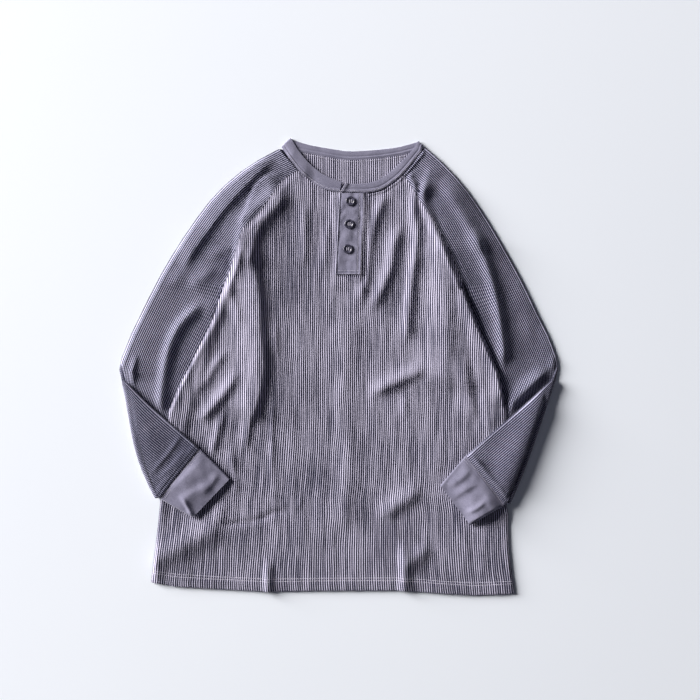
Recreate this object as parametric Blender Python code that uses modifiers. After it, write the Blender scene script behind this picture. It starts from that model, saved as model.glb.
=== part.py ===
"""A long-sleeved raglan henley in ribbed thermal knit, laid flat on its back.

The front and back lie on each other. Each sleeve is a flattened tube that leaves its raglan seam,
passes under the body's side edge, and is folded over the front at the elbow. The row frame has the
floor at Z = 0, +Y towards the neck, and its origin under the middle of the laid garment. The tables
and sizes below are in millimetres, and add_panel() turns them into metres.

Every piece of cloth is a wall between two grids of points, an outer face and a plain inner face.
"""

import math
from collections import namedtuple

import bmesh
import bpy
import numpy as np

MM = 0.001

# ---- cloth ----
CLOTH = 1.6  # wall of the thermal knit
SEAM_GAP = 0.3  # between pieces that are sewn together
RIB_PITCH = 4.3
RIB_HEIGHT = 0.6
RIBS_RAISED = True
PANEL_STEP = 15.0  # widest stretch of the plain inner face between two posts

# ---- the stack, from the floor up ----
BACK_BASE = 0.0
FRONT_BASE = BACK_BASE + CLOTH + SEAM_GAP
SLEEVE_STACK = 2 * CLOTH + SEAM_GAP
TUCK_RISE = SLEEVE_STACK + 0.4  # how far the body's side edge rides up over the sleeve
FRONT_TUCK_RISE = TUCK_RISE + 0.2
TUCK_RAMP = 17.0  # the body comes down off the sleeve over this width
PLACKET_RISE = CLOTH + SEAM_GAP  # the front rides over the under placket

# ---- body outline ----
CHEST_Y = -67.0  # below it the ribs follow the side seams, above it they run straight up
NOTCH_Y = 147.0  # foot of the slit under the placket
NOTCH_LEFT, NOTCH_RIGHT = 5.0, 31.0

Point = namedtuple("Point", "x y")

HEM = [
    Point(-291, -334), Point(-255, -340.4), Point(-187, -344.6), Point(-107, -348.4),
    Point(-27, -347), Point(92, -346.4), Point(161, -351.4), Point(210, -354.3), Point(274, -351.5),
]
# Side seams, from the hem up to the chest line.
SIDE_LEFT = [
    Point(-291, -335), Point(-285.4, -291), Point(-276.4, -214), Point(-270, -140), Point(-262.4, CHEST_Y),
]
SIDE_RIGHT = [
    Point(274, -352), Point(268.6, -311), Point(265.5, -281), Point(263.7, -228), Point(259.5, -206),
    Point(262, -180), Point(262.5, -120), Point(260.9, CHEST_Y),
]
# Side edges above the chest line, where the body lies over the sleeve, up to the armpits.
FLANK_LEFT = [
    Point(-262.4, CHEST_Y), Point(-245.8, -27.4), Point(-221, 22), Point(-204, 56), Point(-193.9, 76.4),
    Point(-186, 103), Point(-179, 126),
]
FLANK_RIGHT = [
    Point(260.9, CHEST_Y), Point(248.5, -7.6), Point(228.8, 36.9), Point(213, 74), Point(206.5, 91),
    Point(199, 111), Point(194, 126),
]

# Raglan seams, from the neck to the armpit: one row of the sleeve ends on each pair of points.
Raglan = namedtuple("Raglan", "front_x front_y back_x back_y")
RAGLAN_LEFT = [
    Raglan(-63, 305.4, -72, 335.5), Raglan(-76, 297.5, -88, 310), Raglan(-88.5, 288, -101, 288),
    Raglan(-105, 264, -116, 262), Raglan(-121, 240.3, -130, 237), Raglan(-147, 214.8, -150, 211),
    Raglan(-157, 185, -160, 182), Raglan(-171.6, 140.6, -173, 139), Raglan(-179, 126, -179, 126),
]
RAGLAN_RIGHT = [
    Raglan(100.4, 299, 122, 333.5), Raglan(108, 287.5, 125, 310), Raglan(115.3, 275.6, 129, 284),
    Raglan(124, 260, 135, 262), Raglan(133.5, 246, 143, 243), Raglan(148, 226, 153, 221),
    Raglan(169.4, 185, 172, 181), Raglan(187, 144, 188.5, 140), Raglan(194, 126, 194, 126),
]

# ---- neckband: its free edge and its seam edge, from the placket round the neck and back again ----
Band = namedtuple("Band", "free_x free_y seam_x seam_y rise")
BAND_THICK = 2.2
BAND_LOW = BACK_BASE + 0.5 * BAND_THICK  # middle of the wall at the back of the neck
BAND_HIGH = BAND_LOW + BAND_THICK + 0.4  # and at the front
BAND_FRONT_LEFT = [
    Band(5.2, 286.6, 1.5, 271.7, 1.2), Band(-11, 292.8, -14.9, 273.9, 1.0), Band(-26.8, 300.7, -30, 280.2, 0.7),
    Band(-40, 311.5, -46, 290.6, 0.3), Band(-51, 322.5, -59, 302, 0.1), Band(-61.5, 336, -72, 318, 0.0),
    Band(-68, 346, -81, 330.3, 0.0),
]
TIP_LEFT = Band(-74.4, 355.9, -89, 341.5, 0.0)
BAND_BACK = [
    Band(-63, 350, -72, 336.8, 0.0), Band(-42, 344.2, -45, 331.4, 0.0), Band(-3, 337.5, -3, 323.6, 0.0),
    Band(22, 335, 20, 321.2, 0.0), Band(64.6, 337.7, 60, 324, 0.0), Band(94, 341.6, 95, 328.8, 0.0),
    Band(114, 346.8, 119, 335, 0.0),
]
TIP_RIGHT = Band(125.1, 351.1, 132, 342, 0.0)
BAND_FRONT_RIGHT = [
    Band(119, 342, 128.5, 333.2, 0.0), Band(107.5, 328.5, 119.6, 322.5, 0.0), Band(93, 314, 105.5, 305.5, 0.1),
    Band(79, 301.5, 91, 291.3, 0.3), Band(64, 291, 69, 276.2, 0.7), Band(46, 285.2, 48, 270.9, 1.0),
    Band(28.7, 283.8, 25, 270.9, 1.2), Band(10.6, 284.9, 2.6, 271.5, 1.2),
]

# ---- sleeves ----
# Outer edge from the neck down to the elbow.
OUTER_LEFT = [
    Point(-92.5, 338.6), Point(-107.4, 328.6), Point(-132.2, 318.8), Point(-155.9, 299.8), Point(-184.3, 276),
    Point(-203.5, 253.6), Point(-227, 221.7), Point(-250.8, 186), Point(-274.8, 145.7), Point(-298, 100.8),
    Point(-321.9, 51), Point(-337.3, 12.9), Point(-341.6, -2.0), Point(-341.3, -13.0), Point(-337.5, -24.0),
]
OUTER_RIGHT = [
    Point(135.6, 341), Point(147, 333.5), Point(166.8, 311.7), Point(190.5, 288), Point(209.6, 262),
    Point(228.5, 233.4), Point(249.9, 197.8), Point(268.8, 164.6), Point(290.2, 124.3), Point(309, 84),
    Point(328, 46), Point(341.0, 9.6), Point(342.3, -4.0), Point(341.3, -13.0), Point(338.3, -21.0),
]
Sleeve = namedtuple(
    "Sleeve", "side raglan outer flank armpit_reach elbow fold_foot bulge seam_top seam_foot end_top end_foot"
)
# armpit_reach is the share of the outer edge that lies above the armpit's row. elbow and fold_foot
# are the ends of the fold, which bows out by bulge between them. The cuff runs from
# seam_top and seam_foot to end_top and end_foot.
SLEEVE_RIGHT = Sleeve(
    -1, RAGLAN_LEFT, OUTER_LEFT, FLANK_LEFT, 0.60, Point(-335, -26), Point(-284, -204), 9.0,
    Point(-214.7, -125.4), Point(-276, -203.5), Point(-168, -173), Point(-225, -233),
)
SLEEVE_LEFT = Sleeve(
    1, RAGLAN_RIGHT, OUTER_RIGHT, FLANK_RIGHT, 0.60, Point(336.5, -22), Point(266.5, -213), 3.0,
    Point(197.2, -136.7), Point(258.5, -213), Point(157.6, -183.5), Point(204.4, -244.7),
)
TUCK_START_Y = 84.0  # below it the sleeve's inner edge runs on under the body
FOLD_RADIUS = 0.5 * (SLEEVE_STACK + 9.0)  # leaves the body's side edge room inside the fold
FOLD_SKEW = 1.35  # the fold bows out most below its middle,
FOLD_SPREAD = 45.0  # and the cloth beside it follows over this width
FOREARM_DROP = 1.7  # the forearm settles by this much,
DROP_START, DROP_WIDTH = 46.0, 40.0  # from this far inside the body's side edge, over this width
COVER_REACH = 24.0  # the front lies flat under the forearm, and frees itself over this width
CUFF_THICK = 2.0
CUFF_STACK = 2 * CUFF_THICK + 0.4

# ---- placket and buttons ----
PLACKET_TOP_Y, PLACKET_FOOT_Y = 269.6, 143.0
PLACKET_LEFT = (2.6, -4.5)  # x at its top and at its foot
PLACKET_RIGHT = (38.3, 34.3)
UNDER_LEFT, UNDER_RIGHT, UNDER_FOOT_Y = 1.0, 34.0, 140.0
BUTTONS = [Point(18.8, 256.8), Point(16.9, 221.2), Point(14.9, 182.7)]
BUTTON_RADIUS = 7.5
BUTTON_THICK = 2.6
BUTTON_HOLE_RADIUS = 0.9
BUTTON_HOLE_REACH = 1.5  # from the button's middle to each hole, along X and along Y

# ---- folds: crest lines, and how far the cloth rises or sinks and spreads on either side ----
Fold = namedtuple("Fold", "rise left right line")
FRONT_LOFT = 1.4
FRONT_FOLDS = [
    Fold(
        7.5, 20, 15,
        [(-93, 268), (-116, 236), (-134, 190), (-138, 110), (-135, 40), (-136, -10), (-146, -70), (-153, -118)],
    ),
    Fold(7.0, 13, 20, [(146, 215), (160, 165), (163, 100), (160, 38), (153, -12)]),
    Fold(4.0, 11, 11, [(92, 228), (86, 170), (70, 122), (54, 88)]),
    Fold(4.0, 10, 9, [(116, 262), (123, 205), (119, 130), (112, 48)]),
    Fold(-1.4, 9, 9, [(81, 238), (68, 192), (56, 150), (46, 112)]),
    Fold(3.2, 9, 9, [(50, -37), (92, -23), (141, -15)]),
    Fold(3.0, 9, 10, [(60, -233), (103, -214), (134, -191)]),
    Fold(3.4, 9, 8, [(97, -296), (97, -325), (96, -356)]),
    Fold(2.6, 8, 9, [(108, -312), (126, -299), (144, -283)]),
    Fold(3.0, 8, 10, [(-111, -296), (-110, -322), (-109, -356)]),
    Fold(3.0, 8, 11, [(-262, -303), (-238, -280), (-204, -258)]),
    Fold(-1.4, 9, 9, [(-164, 52), (-192, 10), (-222, -30)]),
    Fold(4.0, 12, 11, [(-160, -24), (-190, -66), (-226, -92)]),
    Fold(3.4, 9, 12, [(-138, -64), (-144, -116), (-137, -166)]),
    Fold(2.6, 9, 12, [(-92, -72), (-96, -128), (-101, -186)]),
    Fold(-1.4, 8, 8, [(201, 24), (222, -38), (236, -74)]),
    Fold(2.2, 16, 16, [(20, 90), (8, -20), (14, -150), (0, -260)]),
]
RIGHT_SLEEVE_FOLDS = [
    Fold(5.0, 9, 8, [(-118, 292), (-135, 266), (-146, 232), (-152, 204)]),
    Fold(5.0, 16, 15, [(-203, 152), (-232, 92), (-256, 44), (-268, 0)]),
    Fold(3.0, 14, 14, [(-160, 292), (-200, 238), (-236, 180)]),
    Fold(2.5, 10, 14, [(-262, 118), (-290, 60), (-310, 10)]),
]
LEFT_SLEEVE_FOLDS = [
    Fold(3.2, 6, 6, [(141, 314), (140, 280), (139, 252)]),
    Fold(5.0, 12, 14, [(200, 246), (226, 182), (246, 119), (252, 56)]),
    Fold(3.0, 14, 14, [(176, 288), (220, 222), (262, 146)]),
    Fold(3.0, 12, 12, [(318, 10), (290, -4), (262, -12)]),
    Fold(2.5, 12, 12, [(290, 96), (296, 52), (300, 22)]),
]
RIGHT_FOREARM_FOLDS = [
    Fold(2.0, 12, 14, [(-322, -60), (-280, -120), (-262, -180)]),
    Fold(1.8, 10, 10, [(-300, -66), (-252, -122), (-246, -146)]),
]
LEFT_FOREARM_FOLDS = [
    Fold(2.6, 12, 12, [(262, -100), (240, -150), (226, -172)]),
    Fold(2.0, 12, 12, [(318, -56), (286, -112), (270, -170)]),
]

# ---- colours, linear ----
BODY_COLOUR = (0.199, 0.185, 0.253, 1.0)
JERSEY_COLOUR = (0.226, 0.215, 0.292, 1.0)
BUTTON_COLOUR = (0.246, 0.238, 0.305, 1.0)


# ---- helpers ----
def smooth(value):
    """0 below 0, 1 above 1, and an even S between."""
    value = np.clip(value, 0.0, 1.0)
    return value * value * (3.0 - 2.0 * value)


def curve(points, steps=6):
    """A smooth curve through the points (Catmull-Rom), as an array of x and y."""
    knots = np.array([tuple(p)[:2] for p in points], float)
    padded = np.vstack([2 * knots[0] - knots[1], knots, 2 * knots[-1] - knots[-2]])
    out = []
    for a, b, c, d in zip(padded, padded[1:], padded[2:], padded[3:]):
        for t in np.arange(steps) / steps:
            out.append(
                0.5 * (2 * b + (c - a) * t + (2 * a - 5 * b + 4 * c - d) * t**2 + (3 * b - a - 3 * c + d) * t**3)
            )
    return np.array(out + [knots[-1]])


def nearest_on(line, x, y):
    """Distance to a polyline, the side of it (+1 on its right), and the share of its length there."""
    line = line[np.append(True, np.any(np.diff(line, axis=0) != 0.0, axis=1))]
    starts = line[:-1]
    steps = np.diff(line, axis=0)
    lengths = np.hypot(steps[:, 0], steps[:, 1])
    before = np.concatenate([[0.0], np.cumsum(lengths)[:-1]])
    dx = x[..., None] - starts[:, 0]
    dy = y[..., None] - starts[:, 1]
    along = np.clip((dx * steps[:, 0] + dy * steps[:, 1]) / lengths**2, 0.0, 1.0)
    off_x = dx - along * steps[:, 0]
    off_y = dy - along * steps[:, 1]
    distance = np.hypot(off_x, off_y)
    best = np.argmin(distance, axis=-1)[..., None]

    def pick(values):
        return np.take_along_axis(values, best, axis=-1)[..., 0]

    across = pick(off_x * steps[:, 1] - off_y * steps[:, 0])
    share = pick(before + along * lengths) / lengths.sum()
    return pick(distance), np.where(across > 0, 1.0, -1.0), share


def fold_height(folds, x, y):
    """Sum of the folds' soft ridges and troughs, each fading out at the ends of its crest line."""
    total = np.zeros(np.shape(x))
    for fold in folds:
        distance, side, share = nearest_on(curve(fold.line), x, y)
        spread = np.where(side > 0, fold.right, fold.left)
        ends = smooth(share / 0.22) * smooth((1.0 - share) / 0.22)
        total += fold.rise * ends * np.exp(-((distance / spread) ** 2))
    return total


def at_y(points, y):
    """x on a side edge at height y."""
    table = sorted(points, key=lambda p: p.y)
    return np.interp(y, [p.y for p in table], [p.x for p in table])


def material(name, colour, roughness):
    made = bpy.data.materials.new(name)
    made.use_nodes = True
    shader = made.node_tree.nodes["Principled BSDF"]
    shader.inputs["Base Color"].default_value = colour
    shader.inputs["Roughness"].default_value = roughness
    shader.inputs["Metallic"].default_value = 0.0
    return made


def add_object(name, points, faces, finish):
    mesh = bpy.data.meshes.new(name)
    mesh.from_pydata([tuple(p) for p in np.asarray(points) * MM], [], faces)
    shape = bmesh.new()
    shape.from_mesh(mesh)
    bmesh.ops.delete(shape, geom=[v for v in shape.verts if not v.link_faces], context="VERTS")
    bmesh.ops.recalc_face_normals(shape, faces=shape.faces)
    shape.to_mesh(mesh)
    shape.free()
    made = bpy.data.objects.new(name, mesh)
    mesh.materials.append(finish)
    bpy.data.collections["thermal_top"].objects.link(made)
    return made


def edge_strip(fine, first, last):
    """Faces between a run of outer points and the two inner points under its ends."""
    if len(fine) == 2:
        return [(fine[0], fine[1], last, first)]
    middle = len(fine) // 2
    strip = [(first, a, b) for a, b in zip(fine[:middle], fine[1 : middle + 1])]
    strip.append((first, fine[middle], last))
    strip += [(last, a, b) for a, b in zip(fine[middle:], fine[middle + 1 :])]
    return strip


def add_panel(name, outer, inner, finish, posts=None, tops=None):
    """A wall of cloth between an outer grid and an inner grid of points, (rows, columns, 3).

    The inner grid has a column for each of posts, the outer columns over it. tops gives the
    number of rows of faces between each two posts, so a slit is a stretch with fewer.
    """
    rows, fine = outer.shape[:2]
    coarse = inner.shape[1]
    posts = list(range(fine)) if posts is None else posts
    tops = [rows - 1] * (coarse - 1) if tops is None else tops

    def out(row, column):
        return row * fine + column

    def under(row, column):
        return rows * fine + row * coarse + column

    faces = []
    for post in range(coarse - 1):
        columns = range(posts[post], posts[post + 1])
        for row in range(tops[post]):
            faces += [(out(row, c), out(row, c + 1), out(row + 1, c + 1), out(row + 1, c)) for c in columns]
            faces.append((under(row, post), under(row + 1, post), under(row + 1, post + 1), under(row, post + 1)))
        for row in (0, tops[post]):
            run = [out(row, c) for c in range(posts[post], posts[post + 1] + 1)]
            faces += edge_strip(run, under(row, post), under(row, post + 1))
    heights = [0] + tops + [0]
    for post in range(coarse):
        for row in range(min(heights[post : post + 2]), max(heights[post : post + 2])):
            faces.append(
                (out(row, posts[post]), out(row + 1, posts[post]), under(row + 1, post), under(row, post))
            )
    return add_object(name, np.vstack([outer.reshape(-1, 3), inner.reshape(-1, 3)]), faces, finish)


def grid(x, y, z):
    return np.stack([x, y, z], axis=-1)


# ---- fold over the elbow ----
class Elbow:
    """The bend that carries the forearm back over the front. s runs out across the fold line and
    on through the bend, q along the fold line from the elbow, and w up through the flat sleeve."""

    def __init__(self, sleeve):
        start = np.array(sleeve.elbow, float)
        end = np.array(sleeve.fold_foot, float)
        self.length = math.dist(start, end)
        self.along = (end - start) / self.length
        self.outward = np.array([-self.along[1], self.along[0]])
        if self.outward[0] * sleeve.side < 0:
            self.outward = -self.outward
        self.start = start - FOLD_RADIUS * self.outward
        self.bulge = sleeve.bulge
        self.sleeve = sleeve

    def arm(self, x, y):
        """s and q of a place on the upper arm."""
        dx, dy = x - self.start[0], y - self.start[1]
        return dx * self.outward[0] + dy * self.outward[1], dx * self.along[0] + dy * self.along[1]

    def forearm(self, x, y):
        """s and q of a place on the folded forearm, measured on through the bend."""
        s, q = self.arm(x, y)
        return math.pi * FOLD_RADIUS - s, q

    def place(self, s, q, w):
        turn = np.clip(s / FOLD_RADIUS, 0.0, math.pi)
        past = np.maximum(s - math.pi * FOLD_RADIUS, 0.0)
        flat = np.minimum(s, 0.0)
        bow = self.bulge * np.sin(math.pi * np.clip(q / self.length, 0.0, 1.0) ** FOLD_SKEW)
        bow = bow * np.exp(-(((np.abs(flat) + past) / FOLD_SPREAD) ** 2))
        out = flat + (FOLD_RADIUS - w) * np.sin(turn) - past + bow
        x = self.start[0] + out * self.outward[0] + q * self.along[0]
        y = self.start[1] + out * self.outward[1] + q * self.along[1]
        z = FOLD_RADIUS - (FOLD_RADIUS - w) * np.cos(turn)
        settled = smooth((inside_body(x, y) - DROP_START) / DROP_WIDTH)
        z = z - np.where(past > 0, FOREARM_DROP * settled, 0.0)
        return grid(x, y, z)


def inside_body(x, y):
    """How far inside the body's nearer side edge a place lies, across."""
    left = np.where(y < CHEST_Y, at_y(SIDE_LEFT, y), at_y(FLANK_LEFT, y))
    right = np.where(y < CHEST_Y, at_y(SIDE_RIGHT, y), at_y(FLANK_RIGHT, y))
    return np.minimum(x - left, right - x)


def covered(sleeve, x, y):
    """1 where a folded forearm or cuff lies overhead, 0 clear of it."""
    top = np.array(sleeve.elbow, float)
    tip = np.array(sleeve.end_top, float)
    foot = np.array(sleeve.end_foot, float)
    upper = (tip - top) / math.dist(tip, top)
    above = sleeve.side * ((x - top[0]) * upper[1] - (y - top[1]) * upper[0])
    end = (foot - tip) / math.dist(foot, tip)
    beyond = sleeve.side * ((x - tip[0]) * end[1] - (y - tip[1]) * end[0])
    lower = foot[1] - 0.5 * COVER_REACH
    near = [smooth(1.0 - gone / COVER_REACH) for gone in (above, beyond)]
    return near[0] * near[1] * smooth((y - lower) / COVER_REACH)


# ---- body ----
def armhole(sleeve):
    """Front raglan seam and flank of one side as one edge, from the chest line up to the neck."""
    seam = [Point(row.front_x, row.front_y) for row in reversed(sleeve.raglan)]
    return sleeve.flank[:-1] + seam


def back_armhole(sleeve):
    seam = [Point(row.back_x, row.back_y) for row in reversed(sleeve.raglan)]
    return sleeve.flank[:-1] + seam


def neckline(rows, first_x, last_x):
    """The band's seam edge lowered by the seam gap, between two raglan seams."""
    drop = 1.4 * SEAM_GAP
    seam = [Point(row.seam_x, row.seam_y - drop) for row in rows]
    return sorted([p for p in seam if first_x < p.x < last_x], key=lambda p: p.x)


def front_top():
    left, right = armhole(SLEEVE_RIGHT), armhole(SLEEVE_LEFT)
    neck = neckline(BAND_FRONT_LEFT + BAND_FRONT_RIGHT, left[-1].x + 1.0, right[-1].x - 1.0)
    return left + neck + right[::-1]


def back_top():
    left, right = back_armhole(SLEEVE_RIGHT), back_armhole(SLEEVE_LEFT)
    neck = neckline(BAND_BACK, left[-1].x + 1.0, right[-1].x - 1.0)
    return left + neck + right[::-1]


def tuck_edge(sleeve, y):
    """x of the sleeve's inner edge where it runs on under the body, down to the fold's foot."""
    high = at_y(sleeve.flank, TUCK_START_Y) + 0.6 * sleeve.side
    elbow = Elbow(sleeve)
    low = elbow.start + elbow.length * elbow.along
    return np.interp(y, [low[1], TUCK_START_Y], [low[0], high])


def tuck_height(x, y, lead=0.0):
    """1 where the body rides over a sleeve that is tucked under its side, falling to 0 inwards,
    which starts lead further in."""
    total = np.zeros(np.shape(x))
    for sleeve in (SLEEVE_RIGHT, SLEEVE_LEFT):
        inward = -sleeve.side * (x - tuck_edge(sleeve, np.clip(y, -215.0, TUCK_START_Y)))
        over = 1.0 - smooth((inward - 1.5 - lead) / TUCK_RAMP)
        start = smooth((122.0 - y) / 30.0)
        stop = smooth((y + 250.0) / 32.0)
        total = np.maximum(total, over * start * stop)
    return total


def edge_fade(x, y, edges, reach):
    """0 on the edges and 1 beyond reach of them."""
    fade = np.ones(np.shape(x))
    for edge in edges:
        distance = nearest_on(np.array(edge, float), x, y)[0]
        fade = np.minimum(fade, smooth(distance / reach))
    return fade


def placket_rise(x, y):
    left = smooth((x - (UNDER_LEFT - 16.0)) / 12.0)
    right = smooth(((UNDER_RIGHT + 16.0) - x) / 12.0)
    foot = smooth((y - (UNDER_FOOT_Y - 22.0)) / 14.0)
    return PLACKET_RISE * left * right * foot


def front_underside(x, y):
    """Height of the front's inner face over the floor."""
    sides = [SIDE_LEFT + FLANK_LEFT, SIDE_RIGHT + FLANK_RIGHT, armhole(SLEEVE_RIGHT), armhole(SLEEVE_LEFT)]
    neck = neckline(BAND_FRONT_LEFT + BAND_FRONT_RIGHT, -1000.0, 1000.0)
    fade = edge_fade(x, y, sides, 16.0) * edge_fade(x, y, [neck], 10.0)
    under = np.maximum(covered(SLEEVE_RIGHT, x, y), covered(SLEEVE_LEFT, x, y))
    folds = fold_height(FRONT_FOLDS, x, y)
    placket = placket_rise(x, y)
    folds = folds * (1.0 - 0.8 * placket / PLACKET_RISE)
    rise = np.maximum(FRONT_LOFT + folds, 0.0) * fade * (1.0 - 0.85 * under)
    return FRONT_BASE + rise + placket + FRONT_TUCK_RISE * tuck_height(x, y, lead=2.0)


def slit_foot(top):
    """Share of the front's height, over the slit, that lies under the slit's foot."""
    middle = 0.5 * (NOTCH_LEFT + NOTCH_RIGHT)
    hem = np.interp(middle, [p.x for p in HEM], [p.y for p in HEM])
    neck = np.interp(middle, [p.x for p in top], [p.y for p in top])
    return (NOTCH_Y - hem) / (neck - hem)


def posts_over(top, also=()):
    """x at the chest line of the inner face's columns: one on each corner of the top outline,
    but for corners of the neckline that crowd another."""
    marks = []
    for mark in sorted({p.x for p in top} | set(also)):
        crowds = marks and mark - marks[-1] < 0.8 * RIB_PITCH
        if crowds and marks[-1] not in also and abs(mark) < 60.0:
            marks[-1] = mark
        elif not crowds or abs(mark) >= 60.0:
            marks.append(mark)
    xs = [marks[0]]
    for mark in marks[1:]:
        parts = max(1, math.ceil((mark - xs[-1]) / PANEL_STEP))
        xs += list(np.linspace(xs[-1], mark, parts + 1)[1:])
    return np.array(xs)


def body_grid(post_x, levels, top):
    """x and y of a body panel's points: columns stand on post_x at the chest line."""
    left, right = post_x[0], post_x[-1]
    share = (post_x - left) / (right - left)
    hem_x = SIDE_LEFT[0].x + share * (SIDE_RIGHT[0].x - SIDE_LEFT[0].x)
    hem_y = np.interp(hem_x, [p.x for p in HEM], [p.y for p in HEM])
    top_y = np.interp(post_x, [p.x for p in top], [p.y for p in top])
    y = hem_y + np.array(levels)[:, None] * (top_y - hem_y)
    low_left, low_right = at_y(SIDE_LEFT, y), at_y(SIDE_RIGHT, y)
    x = np.where(y < CHEST_Y, low_left + share * (low_right - low_left), post_x)
    return x, y


def split(xs, ribs):
    """The inner columns' stations divided into rib valleys and crests, with each station's index."""
    fine, index = [xs[0]], [0]
    for a, b in zip(xs, xs[1:]):
        parts = 2 * max(1, round((b - a) / RIB_PITCH)) if ribs else 1
        fine += list(np.linspace(a, b, parts + 1)[1:])
        index.append(len(fine) - 1)
    return np.array(fine), index


def make_body(finish):
    top = front_top()
    notch_level = slit_foot(top)
    levels = list(np.linspace(0.0, notch_level, 12)) + list(np.linspace(notch_level, 1.0, 4)[1:])
    coarse = posts_over(top, also=(NOTCH_LEFT, NOTCH_RIGHT))
    fine, posts = split(coarse, RIBS_RAISED)
    inner_x, inner_y = body_grid(coarse, levels, top)
    outer_x, outer_y = body_grid(fine, levels, top)
    rib = RIB_HEIGHT * (np.arange(len(fine)) % 2) if RIBS_RAISED else np.zeros(len(fine))
    inner = grid(inner_x, inner_y, front_underside(inner_x, inner_y))
    outer = grid(outer_x, outer_y, front_underside(outer_x, outer_y) + CLOTH + rib)
    notch_row = levels.index(notch_level)  # the row of points that bounds the slit's foot
    in_notch = [NOTCH_LEFT - 0.1 < a and b < NOTCH_RIGHT + 0.1 for a, b in zip(coarse, coarse[1:])]
    tops = [notch_row if slit else len(levels) - 1 for slit in in_notch]
    add_panel("body_front", outer, inner, finish, posts, tops)

    top = back_top()
    coarse = posts_over(top)
    x, y = body_grid(coarse, levels, top)
    z = BACK_BASE + TUCK_RISE * tuck_height(x, y)
    add_panel("body_back", grid(x, y, z + CLOTH), grid(x, y, z), finish)


# ---- sleeves ----
def along_edge(points, shares):
    """Places at these shares of a polyline's length."""
    line = np.array(points, float)
    run = np.concatenate([[0.0], np.cumsum(np.hypot(*np.diff(line, axis=0).T))])
    at = np.asarray(shares) * run[-1]
    return np.stack([np.interp(at, run, line[:, 0]), np.interp(at, run, line[:, 1])], axis=-1)


def sleeve_rows(sleeve, elbow):
    """The sleeve's rows, as the ends of its front layer, outer edge and back layer in s and q,
    with 1 for rows closed along the underarm."""
    gap = np.array([1.25 * SEAM_GAP * sleeve.side, 0.8 * SEAM_GAP])
    raglan = sleeve.raglan
    reach = np.linspace(0.0, sleeve.armpit_reach, len(raglan))
    outer = along_edge(sleeve.outer, reach)
    rows = []
    for row, edge in zip(raglan, outer):
        front = np.array([row.front_x, row.front_y]) + gap
        back = np.array([row.back_x, row.back_y]) + gap
        rows.append((elbow.arm(*front), elbow.arm(*edge), elbow.arm(*back), 0))

    steps = 9
    shares = np.linspace(sleeve.armpit_reach, 1.0, steps + 1)[1:]
    outer = along_edge(sleeve.outer, shares)
    foot = elbow.start + elbow.length * elbow.along
    under_y = np.linspace(sleeve.raglan[-1].front_y, foot[1], steps + 1)[1:]
    for count, (edge, y) in enumerate(zip(outer, under_y), 1):
        flank_x = at_y(sleeve.flank, y) + 0.6 * sleeve.side
        x = flank_x if y > TUCK_START_Y else tuck_edge(sleeve, y)
        inner = elbow.arm(x, y)
        place = elbow.arm(*edge)
        if count == steps:
            inner = (0.0, elbow.length)
        rows.append((inner, place, inner, 1))

    corner_s, top_q = place  # the outer edge has begun to turn up where it reaches the elbow
    for quarter in (0.25, 0.5, 0.75, 1.0):
        s = quarter * math.pi * FOLD_RADIUS
        outer_s = corner_s + quarter * (math.pi * FOLD_RADIUS - corner_s)
        rows.append(((s, elbow.length), (outer_s, top_q), (s, elbow.length), 1))

    seam_top, seam_foot = np.array(sleeve.seam_top, float), np.array(sleeve.seam_foot, float)
    last_outer = (math.pi * FOLD_RADIUS, top_q)
    last_inner = (math.pi * FOLD_RADIUS, elbow.length)
    end_outer, end_inner = elbow.forearm(*seam_top), elbow.forearm(*seam_foot)
    for share in (0.2, 0.4, 0.6, 0.8, 1.0):
        place = tuple(np.array(last_outer) + share * (np.array(end_outer) - last_outer))
        inner = tuple(np.array(last_inner) + share * (np.array(end_inner) - last_inner))
        rows.append((inner, place, inner, 1))
    return rows


def tube_section(front, outer, back, closed, thick, stack, top_columns=9, bottom_columns=5):
    """Outer and inner points across one row of a flattened tube: up the front layer from the
    underarm, round the outer edge, and back along the under layer. Each is s, q and w."""
    front, outer, back = np.array(front), np.array(outer), np.array(back)
    bend = 0.5 * stack
    half = 0.5 * SEAM_GAP
    corner = 1.2
    hollow = 0.5 * stack - thick

    def at(end, distance, w):
        length = math.dist(end, outer)
        return (*(outer + (end - outer) * (distance / length)), w)

    def layer(end, face_w, inner_w, rim_sign, columns):
        length = math.dist(end, outer)
        inset = thick + corner if closed else thick
        reach = np.linspace(length - inset - 4.0, bend + 0.5, columns)
        rim = bend + rim_sign * max(half, hollow) if closed else None
        out = [at(end, length, rim if closed else face_w), at(end, length - (corner if closed else thick), face_w)]
        out += [at(end, d, face_w) for d in reach]
        inn = [at(end, length - (thick if closed else 0.0), rim if closed else inner_w)]
        inn += [at(end, length - inset, inner_w)]
        inn += [at(end, d, inner_w) for d in reach]
        return out, inn

    top_out, top_in = layer(front, stack, stack - thick, 1.0, top_columns)
    low_out, low_in = layer(back, 0.0, thick, -1.0, bottom_columns)
    middle = 0.5 * (front + back)
    turn_out, turn_in = [], []
    for angle in np.radians((60.0, 0.0, -60.0)):
        turn_out.append(at(middle, bend - bend * math.cos(angle), bend + bend * math.sin(angle)))
        turn_in.append(at(middle, bend - hollow * math.cos(angle), bend + hollow * math.sin(angle)))
    return top_out + turn_out + low_out[::-1], top_in + turn_in + low_in[::-1]


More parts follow.
